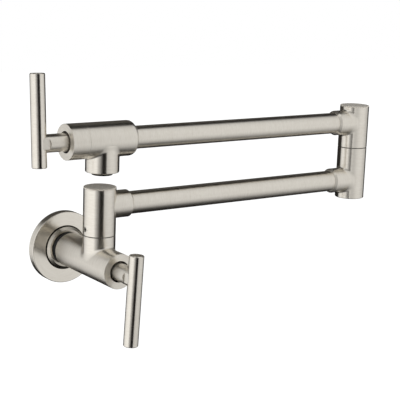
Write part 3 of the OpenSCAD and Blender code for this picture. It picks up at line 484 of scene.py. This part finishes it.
# A plain finish with a fine cast, moulded, lapped or turned grain, whose size and height are in mm.
def grainedMaterial(name, colour, shade, roughness, metallic=0, grain=0.5, grainHeight=0.002):
    look = grainLook
    material, tree = newMaterial(name)
    position = addNode(tree, "ShaderNodeTexCoord").outputs["Object"]
    noise = addNode(tree, "ShaderNodeTexNoise", {
        "Vector": position, "Scale": 1 / (grain * mm), "Detail": look["detail"]}).outputs[0]
    cloud = addNode(tree, "ShaderNodeTexNoise", {
        "Vector": position, "Scale": look["cloudScale"] / (grain * mm),
        "Detail": look["cloudDetail"]}).outputs[0]
    colour, shade = linearColour(colour), linearColour(shade)
    tint = addNode(tree, "ShaderNodeMix", {0: cloud, 6: shade, 7: colour}, data_type="RGBA").outputs[2]
    rough = addNode(tree, "ShaderNodeMapRange", {
        0: noise, 1: look["low"], 2: look["high"],
        3: roughness - look["roughnessSwing"], 4: roughness + look["roughnessSwing"]}).outputs[0]
    bump = addNode(tree, "ShaderNodeBump", {
        "Height": noise, "Strength": 1, "Distance": grainHeight * mm}).outputs[0]
    finishMaterial(tree, addNode(tree, "ShaderNodeBsdfPrincipled", {
        "Base Color": tint, "Metallic": metallic, "Roughness": rough, "Normal": bump}))
    return material


wallLines = (-yAxis, wallCentre)  # the axis that the wall unit's pieces were turned about
# The plate was faced on a lathe and is closer to plain than the tubes, the collar was turned bright and
# never brushed, and the caps' flat tops are a plain satin. The collar's colour is darkened as painted shade
# of its recess, and the caps' colour is lightened a little as painted light from above.
plateFinish = dict(roughness=0.2, anisotropy=0.3)
# The collar's colour and shade are darker than the other nickel: painted shade of its recess
collarFinishWithPaintedShade = dict(roughness=0.2, anisotropy=0.6, colour="#C9C3B8", shade="#BAB4A9")
# The caps' colour and shade are lighter than the other nickel: painted light on their flat tops
capFinishWithPaintedLight = dict(roughness=0.8, anisotropy=0, colour="#FBF7EF", shade="#F0EBE2")
nickel = dict(
    wall=brushedNickel("brushed_nickel_wall", wallLines),
    plate=brushedNickel("brushed_nickel_plate", wallLines, **plateFinish),
    collar=brushedNickel("turned_nickel_collar_painted_shade", wallLines, **collarFinishWithPaintedShade),
    valve=brushedNickel("brushed_nickel_valve", wallLines, (zAxis, postCentre)),
    post=brushedNickel("brushed_nickel_post", (zAxis, postCentre), (xAxis, lowerAxis)),
    postTop=brushedNickel("brushed_nickel_post_top_painted_light", (zAxis, postCentre), **capFinishWithPaintedLight),
    elbowBase=brushedNickel("brushed_nickel_elbow_base", (zAxis, elbowCentre), (xAxis, lowerAxis)),
    elbowHead=brushedNickel("brushed_nickel_elbow_head", (zAxis, elbowCentre), (xAxis, upperAxis)),
    elbowTop=brushedNickel("brushed_nickel_elbow_top_painted_light", (zAxis, elbowCentre), **capFinishWithPaintedLight),
    lowerTube=brushedNickel("brushed_nickel_lower_tube", (xAxis, lowerAxis)),
    upperTube=brushedNickel("brushed_nickel_upper_tube", (xAxis, upperAxis)),
    spout=brushedNickel("brushed_nickel_spout", (xAxis, upperAxis), (zAxis, outletCentre)),
)
# Free-turning brass, as machined: a warm yellow metal with a faint tool grain
rawBrass = grainedMaterial("machined_brass", "#D9B36A", "#C79D52", roughness=0.28, metallic=1)
# Dull brass of the cartridges' housings, its colour darkened far below brass as painted shade of the gap
# round each hub, where it shows
housingBrassPaintedShade = grainedMaterial("housing_brass_painted_shade", "#42372A", "#352B20", roughness=0.5, metallic=1)
# Nitrile rubber, moulded: black, matte, with a slightly dusty skin
blackRubber = grainedMaterial(
    "moulded_nitrile_rubber", "#1B1B1B", "#121212", roughness=0.62, grain=0.35, grainHeight=0.006)
# Alumina ceramic, lapped: off-white, dense and nearly glossy
ceramic = grainedMaterial(
    "lapped_alumina", "#F1EEE6", "#E9E5DA", roughness=0.22, grain=0.6, grainHeight=0.0008)
# Stainless steel, turned: a cool grey metal with a fine grain
stainless = grainedMaterial(
    "turned_stainless_steel", "#BDBDBA", "#A9A9A6", roughness=0.3, metallic=1, grain=0.4)
# PTFE, skived from rod: waxy white, matte
ptfe = grainedMaterial("skived_ptfe", "#ECEAE3", "#E2DFD6", roughness=0.5)
# Acetal, moulded: black with a soft sheen
acetal = grainedMaterial("moulded_black_acetal", "#1E1E1D", "#171716", roughness=0.42)
# Dark plated brass, satin: the rim that shows under the outlet
aeratorMetal = grainedMaterial(
    "satin_dark_plating", "#35322D", "#282521", roughness=0.34, metallic=1, grain=0.4)
# Acetal copolymer, moulded: the pale honeycomb of the aerator
aeratorPlastic = grainedMaterial("moulded_pale_acetal", "#CFCDC6", "#C2BFB7", roughness=0.4)
print("materials made:", len(bpy.data.materials))

# The wall unit. All sizes are in mm, and heights on the wall's axis are distances from the wall.
wallFrame = (wallCentre, -yAxis, xAxis, zAxis)
seamRound = 0.28  # the broken edges along the swivels' seams
tightRound = 0.12  # edges of pieces that are screwed face to face
sleeveRound = 0.22  # the faint seam between the spout's sleeve and its body
faceRound = 0.35  # the front edges of the cover and the sleeve

plate = dict(
    r=31.2, thickness=7.3, bevel=0.6, wallEdge=0.2,
    holeR=19.2, holeEdge=0.25,
    hubR=21, hubGap=1.5,  # the ring round the hole, and how far it stays off the wall
    rimR=26.5, back=5.3,  # the hollow behind the face
    gasketR=30.4, gasket=1.2,
)
turnedPiece("wall_plate", "escutcheon", "wall_unit", [
    (plate["holeR"], plate["hubGap"]), (plate["hubR"], plate["hubGap"]),
    (plate["hubR"], plate["back"]), (plate["rimR"], plate["back"]),
    (plate["rimR"], plate["gasket"]), (plate["gasketR"], plate["gasket"]),
    (plate["gasketR"], 0), (plate["r"], 0, plate["wallEdge"]),
    (plate["r"], plate["thickness"], plate["bevel"]),
    (plate["holeR"], plate["thickness"], plate["holeEdge"]),
], wallFrame, nickel["plate"], around=256)

collar = dict(
    r=18.3, reach=10.5, bevel=2.1, bevelBack=0.5, bevelFront=0.35,
    grooveR=17.3, grooveFrom=2.5, grooveTo=4.7,  # for the ring that holds the plate
    neckR=12, barrelBack=13, tailR=10.35, tailEnd=26.5,
    threadR=9.15, thread=12.5, passageR=7, edge=0.3,
)
turnedPiece("wall_collar", "inlet_collar", "wall_unit", [
    (collar["threadR"], 0, collar["edge"]), (collar["r"], 0, collar["edge"]),
    (collar["r"], collar["grooveFrom"]), (collar["grooveR"], collar["grooveFrom"]),
    (collar["grooveR"], collar["grooveTo"]), (collar["r"], collar["grooveTo"]),
    (collar["r"], collar["reach"] - collar["bevel"], collar["bevelBack"]),
    (collar["r"] - collar["bevel"], collar["reach"], collar["bevelFront"]),
    (collar["neckR"], collar["reach"], collar["edge"]), (collar["neckR"], collar["barrelBack"]),
    (collar["tailR"], collar["barrelBack"]), (collar["tailR"], collar["tailEnd"]),
    (collar["passageR"], collar["tailEnd"]), (collar["passageR"], collar["thread"]),
    (collar["threadR"], collar["thread"]),
], wallFrame, nickel["collar"], around=192)

valve = dict(
    barrelR=14.5, riserR=13.5, fillet=1.9, backRound=3.6,
    back=13.0, front=95.1,  # the barrel's ends
    backBoreR=10.4, backBore=26.8,
    chamberR=11, seat=56.8, coverThreadR=12.4, coverThread=88.3,
    riserTop=23.4, spigotThreadR=9.5, riserFloor=11.7,  # heights over the barrel's axis
)
barrelR, backRound, riserTop = valve["barrelR"], valve["backRound"], valve["riserTop"]
# The barrel's places from the riser's axis, where the tee starts
back, front, backBore, seat, coverThread = (
    valve[key] + postY for key in ("back", "front", "backBore", "seat", "coverThread"))
teePiece("valve_barrel_and_riser", "valve_body", "wall_unit", dict(
    mainR=barrelR, branchR=valve["riserR"], fillet=valve["fillet"],
    a0=back + backRound, a1=front - tightRound, reach=riserTop - seamRound,
    branchEnd=[
        (valve["riserR"], riserTop - seamRound), (valve["riserR"], riserTop, seamRound),
        (valve["spigotThreadR"], riserTop), (valve["spigotThreadR"], valve["riserFloor"]),
        (0, valve["riserFloor"])],
    mainEnds=[
        [(barrelR, front - tightRound), (barrelR, front, tightRound), (valve["coverThreadR"], front),
         (valve["coverThreadR"], coverThread), (valve["chamberR"], coverThread),
         (valve["chamberR"], seat), (0, seat)],
        [(0, backBore), (valve["backBoreR"], backBore), (valve["backBoreR"], back),
         (barrelR, back, backRound), (barrelR, back + backRound)]],
), postCentre, -yAxis, zAxis, nickel["valve"])

cover = dict(r=14.5, threadR=12.35, boreR=10.2, holeR=8.8, holeEdge=0.2, start=88.6, seam=95.1, face=96.5)
turnedPiece("wall_cover", "wall_cover_ring", "wall_unit", [
    (cover["boreR"], cover["start"]), (cover["threadR"], cover["start"]),
    (cover["threadR"], cover["seam"]), (cover["r"], cover["seam"], tightRound),
    (cover["r"], cover["face"], faceRound), (cover["holeR"], cover["face"], cover["holeEdge"]),
    (cover["holeR"], cover["seam"]), (cover["boreR"], cover["seam"]),
], wallFrame, nickel["wall"])
print("wall unit made")

# The swivels: the post and the two halves of the elbow
upright = dict(r=13.5, boreR=9.05, threadR=9.5, plugR=10.5, plugDepth=4.6, fillet=2.0)
socket = dict(
    r=11.4, boreR=9.55, floor=11.05,
    chamfer=1.9, chamferRound=0.4,
    rimWidth=0.2, rimRound=0.1, tipBack=0.15, boreRound=0.04,  # the thin rim round the tube
    straight=0.5,  # drawn with the end, before the chamfer
    lowerReach=27.3, upperReach=25.8,
)
screwHole = dict(r=2.05, edge=0.15, steps=20, floor=9.7, floorBevel=0.1)  # floor: from the upright's axis


# A tube socket's end: its side, a chamfer down to the tube, and the bore for the tube.
def socketEnd(reach):
    tip, corner = reach - socket["tipBack"], reach - socket["chamfer"]
    return [
        (socket["r"], corner - socket["straight"]), (socket["r"], corner, socket["chamferRound"]),
        (socket["boreR"] + socket["rimWidth"], tip, socket["rimRound"]),
        (socket["boreR"], tip, socket["boreRound"]), (socket["boreR"], socket["floor"]),
        (0, socket["floor"])]


# An upright with one socket, from low to high over the tube's axis.
def socketTee(low, lowRound, high, highRound, reach, mainEnds, **more):
    tee = dict(
        mainR=upright["r"], branchR=socket["r"], fillet=upright["fillet"],
        a0=low + lowRound, a1=high - highRound, mainEnds=mainEnds,
        reach=reach - socket["chamfer"] - socket["straight"], branchEnd=socketEnd(reach))
    return dict(tee, **more)


# The ends of an upright that is bored through: a seat for the cap's plug above, the swivel's seam below.
def boredEnds(low, high):
    r, plugR, boreR = (upright[key] for key in ("r", "plugR", "boreR"))
    plugFloor = high - upright["plugDepth"]
    return [[
        (r, high - tightRound), (r, high, tightRound), (plugR, high), (plugR, plugFloor),
        (boreR, plugFloor), (boreR, low), (r, low, seamRound), (r, low + seamRound)]]


post = dict(foot=24.0, top=62.7, saddleRound=0.2, screwZ=29.2)
low, high = post["foot"] - lowerZ, post["top"] - lowerZ
teePiece("post_with_socket", "swivel_post", "lower_arm", socketTee(
    low, seamRound, high, tightRound, socket["lowerReach"], boredEnds(low, high),
    fillet=post["saddleRound"], hole=dict(screwHole, a=post["screwZ"] - lowerZ),
), lowerAxis, zAxis, xAxis, nickel["post"])

elbow = dict(
    foot=30.4, footRound=0.8, floor=34.4, threadFrom=63.7,
    seamLow=78.4, seamHigh=79.0,  # the gap between the halves
    screwZ=84.2, top=116.9,
)
low, high, footRound = elbow["foot"] - lowerZ, elbow["seamLow"] - lowerZ, elbow["footRound"]
floor, thread = elbow["floor"] - lowerZ, elbow["threadFrom"] - lowerZ
teePiece("elbow_lower_half", "elbow_base", "lower_arm", socketTee(
    low, footRound, high, seamRound, socket["lowerReach"], [
        [(upright["r"], high - seamRound), (upright["r"], high, seamRound), (upright["threadR"], high),
         (upright["threadR"], thread), (upright["boreR"], thread), (upright["boreR"], floor), (0, floor)],
        [(0, low), (upright["r"], low, footRound), (upright["r"], low + footRound)]],
), (place["armLength"], postY, lowerZ), zAxis, -xAxis, nickel["elbowBase"])

low, high = elbow["seamHigh"] - upperZ, elbow["top"] - upperZ
teePiece("elbow_upper_half", "elbow_head", "upper_arm", socketTee(
    low, seamRound, high, tightRound, socket["upperReach"], boredEnds(low, high),
    seam=270, hole=dict(screwHole, a=elbow["screwZ"] - upperZ),
), (place["armLength"], postY, upperZ), zAxis, -xAxis, nickel["elbowHead"])

cap = dict(
    r=13.5, head=1.0, chamfer=0.4, chamferLow=0.15, chamferHigh=0.2,
    plugR=10.45, plug=4.4, plugRound=0.3,
    grooveR=8.9, grooveLow=3.0, grooveHigh=1.4,
    postTop=63.7, elbowTop=117.9,
)


# A cap: a flat head with a chamfered edge over a plug with a groove for its ring.
def capPiece(name, node, body, centre, top, material):
    base = top - cap["head"]
    turnedPiece(name, node, body, [
        (0, base - cap["plug"]), (cap["plugR"], base - cap["plug"], cap["plugRound"]),
        (cap["plugR"], base - cap["grooveLow"]), (cap["grooveR"], base - cap["grooveLow"]),
        (cap["grooveR"], base - cap["grooveHigh"]), (cap["plugR"], base - cap["grooveHigh"]),
        (cap["plugR"], base), (cap["r"], base, tightRound),
        (cap["r"], top - cap["chamfer"], cap["chamferLow"]),
        (cap["r"] - cap["chamfer"], top, cap["chamferHigh"]), (0, top),
    ], (centre, zAxis, xAxis, yAxis), material, closed=False)


# The caps' material lightens their colour as painted light on the tops.
capPiece("post_top_cap", "post_cap", "lower_arm", postCentre, cap["postTop"], nickel["postTop"])
capPiece("elbow_top_cap", "elbow_cap", "upper_arm", elbowCentre, cap["elbowTop"], nickel["elbowTop"])
print("swivels made")

# The arms
tube = dict(r=9.5, boreR=8.3, edge=0.15, lowerFrom=12.05, upperFrom=12.2, to=262.95)
for name, node, body, start, origin, key in (
        ("lower_tube", "lower_arm_tube", "lower_arm", tube["lowerFrom"], lowerAxis, "lowerTube"),
        ("upper_tube", "upper_arm_tube", "upper_arm", tube["upperFrom"], upperAxis, "upperTube")):
    turnedPiece(name, node, body, [
        (tube["boreR"], start, tube["edge"]), (tube["r"], start, tube["edge"]),
        (tube["r"], tube["to"], tube["edge"]), (tube["boreR"], tube["to"], tube["edge"]),
    ], (origin, xAxis, yAxis, zAxis), nickel[key], around=128)
print("arms made")

# The spout, with its places along the tube's axis
spout = dict(
    r=14.6, seam=-17.4, tubeEnd=29.0, endRound=4.4, tubeRound=0.15, tubeFloor=11.2,
    neckR=12.35, neckEnd=-24.0, chamberR=11, seat=8.2, fillet=1.3, seamSteps=60,
    outletR=13.9, outletFoot=75.8, outletRound=1.0,  # the foot and the passage's top are heights
    aeratorR=12, aeratorEdge=0.1, aeratorBore=8.5, passageR=8.6, passageTop=88.1,
)
low, high, seat, neckEnd, tubeFloor = (
    spout[key] - outletX for key in ("seam", "tubeEnd", "seat", "neckEnd", "tubeFloor"))
drop, passageTop = upperZ - spout["outletFoot"], upperZ - spout["passageTop"]
aeratorFloor = drop - spout["aeratorBore"]
endRound, outletRound = spout["endRound"], spout["outletRound"]
teePiece("spout_barrel_and_outlet", "spout_body", "upper_arm", dict(
    mainR=spout["r"], branchR=spout["outletR"], fillet=spout["fillet"],
    a0=low + sleeveRound, a1=high - endRound, seamSteps=spout["seamSteps"], reach=drop - outletRound,
    branchEnd=[
        (spout["outletR"], drop - outletRound), (spout["outletR"], drop, outletRound),
        (spout["aeratorR"], drop, spout["aeratorEdge"]), (spout["aeratorR"], aeratorFloor),
        (spout["passageR"], aeratorFloor), (spout["passageR"], passageTop), (0, passageTop)],
    mainEnds=[
        [(spout["r"], high - endRound), (spout["r"], high, endRound),
         (socket["boreR"], high, spout["tubeRound"]), (socket["boreR"], tubeFloor), (0, tubeFloor)],
        [(0, seat), (spout["chamberR"], seat), (spout["chamberR"], neckEnd), (spout["neckR"], neckEnd),
         (spout["neckR"], low), (spout["r"], low, sleeveRound), (spout["r"], low + sleeveRound)]],
), (outletX, postY, upperZ), xAxis, -zAxis, nickel["spout"])

sleeve = dict(
    face=-32.7, holeR=8.8, holeEdge=0.2, boreR=10.2, boreFrom=-30.7, threadR=12.4, threadFrom=-24.3,
)
turnedPiece("spout_sleeve", "spout_sleeve_nut", "upper_arm", [
    (sleeve["holeR"], sleeve["face"], sleeve["holeEdge"]), (spout["r"], sleeve["face"], faceRound),
    (spout["r"], spout["seam"], sleeveRound), (sleeve["threadR"], spout["seam"]),
    (sleeve["threadR"], sleeve["threadFrom"]), (sleeve["boreR"], sleeve["threadFrom"]),
    (sleeve["boreR"], sleeve["boreFrom"]), (sleeve["holeR"], sleeve["boreFrom"]),
], (upperAxis, xAxis, yAxis, zAxis), nickel["upperTube"])

aerator = dict(
    foot=73.5, rimR=8.6, rim=2.3, rimRound=0.4, threadR=11.95, height=9.3, boreR=9.5,
    lipR=7.6, lip=3.1, lipEdge=0.1,
)
turnedPiece("aerator_ring", "aerator_shell", "upper_arm", [
    (aerator["lipR"], 0, aerator["lipEdge"]), (aerator["rimR"], 0, aerator["rimRound"]),
    (aerator["rimR"], aerator["rim"]), (aerator["threadR"], aerator["rim"]),
    (aerator["threadR"], aerator["height"]), (aerator["boreR"], aerator["height"]),
    (aerator["boreR"], aerator["lip"]), (aerator["lipR"], aerator["lip"]),
], ((outletX, postY, aerator["foot"]), zAxis, xAxis, yAxis), aeratorMetal, around=128)
print("spout made")


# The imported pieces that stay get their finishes.
def dress(material, *nodes):
    for node in nodes:
        for slot in frame["nodes"][node].material_slots:
            slot.material = material


# The bars' own axes: each hangs or stands a little off the upright
bars = dict(wallLean=-2.8, spoutLean=3.7, wallY=-119.6, spoutX=-55.8)  # degrees and mm
wallLean, spoutLean = math.radians(bars["wallLean"]), math.radians(bars["spoutLean"])
wallBarAxis = np.array([math.sin(wallLean), 0, math.cos(wallLean)])
spoutBarAxis = np.array([0, math.sin(spoutLean), math.cos(spoutLean)])
wallBarCentre, spoutBarCentre = (0, bars["wallY"], 0), (bars["spoutX"], postY, upperZ)
dress(brushedNickel("brushed_nickel_wall_bar", (wallBarAxis, wallBarCentre)), "wall_handle_bar")
dress(brushedNickel("brushed_nickel_spout_bar", (spoutBarAxis, spoutBarCentre)), "spout_handle_bar")
dress(nickel["wall"], "wall_handle_hub")
dress(nickel["upperTube"], "spout_handle_hub")
bySlot = {
    "raw_brass": rawBrass, "black_rubber": blackRubber, "ceramic": ceramic, "stainless_steel": stainless,
    "ptfe": ptfe, "black_acetal": acetal, "aerator_metal": aeratorMetal, "aerator_plastic": aeratorPlastic}
for row in frame["record"]["subparts"]:
    if row["material_slot"] in bySlot:
        dress(bySlot[row["material_slot"]], row["node"])
# The housings' dark colour is painted shade of the gap round each hub.
dress(housingBrassPaintedShade, "wall_cartridge_housing", "spout_cartridge_housing")
print("packed pieces dressed")

# The studio: a white room, in which dark cloths give the metal something to reflect. Sizes are in mm.
studio = dict(
    floorZ=-1250, floorHalf=12000,  # well below the part, so that its shadow stays soft
    floorColour="#E6E6E6", floorGlow=0.3,
    blackCloth="#121110", charcoalCloth="#474542",
)


# White for what the camera, metal and glass see; a plain diffuse floor for everything else, with its shadow.
def floorMaterial():
    material, tree = newMaterial("studio_floor_paint")
    rays = addNode(tree, "ShaderNodeLightPath").outputs
    seen = addNode(tree, "ShaderNodeMath", {
        0: rays["Is Camera Ray"], 1: rays["Is Glossy Ray"]}, operation="MAXIMUM").outputs[0]
    seen = addNode(tree, "ShaderNodeMath", {
        0: seen, 1: rays["Is Transmission Ray"]}, operation="MAXIMUM").outputs[0]
    glow = addNode(tree, "ShaderNodeMath", {
        0: seen, 1: studio["floorGlow"]}, operation="MULTIPLY").outputs[0]
    colour = linearColour(studio["floorColour"])
    paint = addNode(tree, "ShaderNodeBsdfDiffuse", {"Color": colour}).outputs[0]
    light = addNode(tree, "ShaderNodeEmission", {"Color": white, "Strength": glow}).outputs[0]
    finishMaterial(tree, addNode(tree, "ShaderNodeAddShader", {0: paint, 1: light}))
    material.cycles.emission_sampling = "NONE"
    return material


# Dark cloth of a given cover: 0 lets the white studio through and 1 is the cloth alone.
def clothMaterial(name, colour):
    material, tree = newMaterial(name)
    cover = addNode(tree, "ShaderNodeAttribute", attribute_name="cover").outputs["Fac"]
    clear = addNode(tree, "ShaderNodeBsdfTransparent").outputs[0]
    cloth = addNode(tree, "ShaderNodeEmission", {"Color": linearColour(colour), "Strength": 1}).outputs[0]
    finishMaterial(tree, addNode(tree, "ShaderNodeMixShader", {0: cover, 1: clear, 2: cloth}))
    material.cycles.emission_sampling = "NONE"
    return material


def stagePiece(name, points, cover, material):
    mesh = bpy.data.meshes.new(name)
    mesh.from_pydata((points.reshape(-1, 3) * mm).tolist(), [], gridQuads(*points.shape[:2]).tolist())
    if cover is not None:
        attribute = mesh.attributes.new("cover", "FLOAT", "POINT")
        attribute.data.foreach_set("value", cover.ravel().astype(np.float32))
    mesh.materials.append(material)
    piece = bpy.data.objects.new(name, mesh)
    bpy.context.collection.objects.link(piece)
    return piece


# Cloths are seen by reflections alone.
def hideCloth(piece):
    piece.visible_camera = piece.visible_diffuse = piece.visible_shadow = False
    piece.visible_transmission = piece.visible_volume_scatter = False


def smooth(edge0, edge1, x):
    t = np.clip((x - edge0) / (edge1 - edge0), 0, 1)
    return t * t * (3 - 2 * t)


side = np.array([-studio["floorHalf"], studio["floorHalf"]], float)
floorX, floorY = np.meshgrid(side, side, indexing="ij")
floorGrid = np.stack([floorX, floorY, np.full_like(floorX, studio["floorZ"])], -1)
stagePiece("floor", floorGrid, None, floorMaterial())

blackCloth = clothMaterial("studio_black_cloth", studio["blackCloth"])
charcoalCloth = clothMaterial("studio_charcoal_cloth", studio["charcoalCloth"])

# The dome of thin cloth round the set, and how bright it is by direction. Azimuth 0 is towards the user
# and 90 to the part's right. Pairs of lists are degrees and brightness, and pairs of numbers a soft step.
dome = dict(
    r=1100, z=50, columns=241, rows=121,
    rightByElevation=(
        [-90, -58, -50, -40, -29, -16, 5, 25], [0.02, 0.06, 0.26, 0.44, 0.59, 0.72, 0.81, 0.84]),
    rightByAzimuth=([0, 10, 30, 50, 62, 76], [0.78, 0.88, 1, 1, 0.92, 0.75]),
    leftToRight=(-60, -10),  # left of this step the dome is open
    leftBack=([-170, -150, -118, -95], [0.3, 0.7, 0.95, 1]),
    below=([-80, -62, -42], [0.02, 0.2, 1]),
    overhead=(40, 60),
    overheadBack=(-0.05, 0.15),  # only past the set, as a share of the way back
    overheadCover=0.92,
    rightBackFrom=(76, 98), rightBackTo=(178, 186), rightBackCover=0.97,
)
azimuth, elevation = np.meshgrid(
    np.linspace(-180, 180, dome["columns"]), np.linspace(-90, 90, dome["rows"]), indexing="ij")
az, el = np.radians(azimuth), np.radians(elevation)
sphere = np.stack([np.sin(az) * np.cos(el), -np.cos(az) * np.cos(el), np.sin(el)], -1)
right = np.interp(elevation, *dome["rightByElevation"]) * np.interp(azimuth, *dome["rightByAzimuth"])
bright = 1 + (right - 1) * smooth(*dome["leftToRight"], azimuth)
bright = bright * np.interp(azimuth, *dome["leftBack"]) * np.interp(elevation, *dome["below"])
overhead = smooth(*dome["overheadBack"], sphere[..., 1]) * smooth(*dome["overhead"], elevation)
bright = bright * (1 - dome["overheadCover"] * overhead)
wholeTurn = np.mod(azimuth, 360)  # 0 to 360, so that the back is one range
rightBack = smooth(*dome["rightBackFrom"], wholeTurn) * (1 - smooth(*dome["rightBackTo"], wholeTurn))
bright = np.minimum(bright, 1 - dome["rightBackCover"] * rightBack)
domeGrid = np.array([0, postY, dome["z"]]) + dome["r"] * sphere
hideCloth(stagePiece("dome_of_flags", domeGrid, 1 - bright, blackCloth))

# The standing cloths: lines are two points of the plan, and pairs of shares are soft steps along them.
cloths = dict(
    columns=61, rows=51, low=-2500, high=2500,
    thicker=0.2, thickerStep=(60, -200),  # below the part they cover up to a fifth more
    streakLine=((-2, -348), (-413, -750)), streakEdge=(0, 0.03),
    streakFade=(0.4, 1), streakFadeShare=0.14,  # how much cover it loses on the way
    scrimLine=((-416, -248), (-350, -680)), scrimCover=0.84,
    backLine=((-170, 400), (1000, 400)), backEdge=(0, 0.06),
    backSplit=30,  # the height where black ends and charcoal starts
)


# A standing cloth along a line, between two heights, with its cover along the line.
def standingCloth(name, line, heights, cover, cloth):
    start, end = np.array(line)
    plan = start + (end - start) * np.linspace(0, 1, len(cover))[:, None]
    z = np.linspace(*heights, cloths["rows"])
    points = np.stack(np.broadcast_arrays(plan[:, None, 0], plan[:, None, 1], z[None]), -1)
    thicker = 1 + cloths["thicker"] * smooth(*cloths["thickerStep"], z)
    hideCloth(stagePiece(name, points, np.minimum(cover[:, None] * thicker[None], 1), cloth))


t = np.linspace(0, 1, cloths["columns"])
low, split, high = cloths["low"], cloths["backSplit"], cloths["high"]
# The black streak down every upright, sharp at its right and thinning to the left
streak = smooth(*cloths["streakEdge"], t)
streak = streak * (1 - cloths["streakFadeShare"] * smooth(*cloths["streakFade"], t))
standingCloth("black_flag", cloths["streakLine"], (low, high), streak, blackCloth)
# The soft grey beside it, which starts from nothing at its left
standingCloth("grey_scrim", cloths["scrimLine"], (low, high), cloths["scrimCover"] * t**0.5, blackCloth)
# The dark outlines of the arms: black under them and charcoal over them
outline = smooth(*cloths["backEdge"], t)
standingCloth("back_flag", cloths["backLine"], (low, split), outline, blackCloth)
standingCloth("back_flag_top", cloths["backLine"], (split, high), outline, charcoalCloth)

world = bpy.data.worlds.new("white_studio")
world.use_nodes = True
background = world.node_tree.nodes["Background"]
background.inputs["Color"].default_value = white
background.inputs["Strength"].default_value = 1
world.cycles.sampling_method = "NONE"  # only reflected rays find the studio, so that the cloths block it
bpy.context.scene.world = world

bpy.context.scene.view_settings.view_transform = "Standard"
print("studio made")
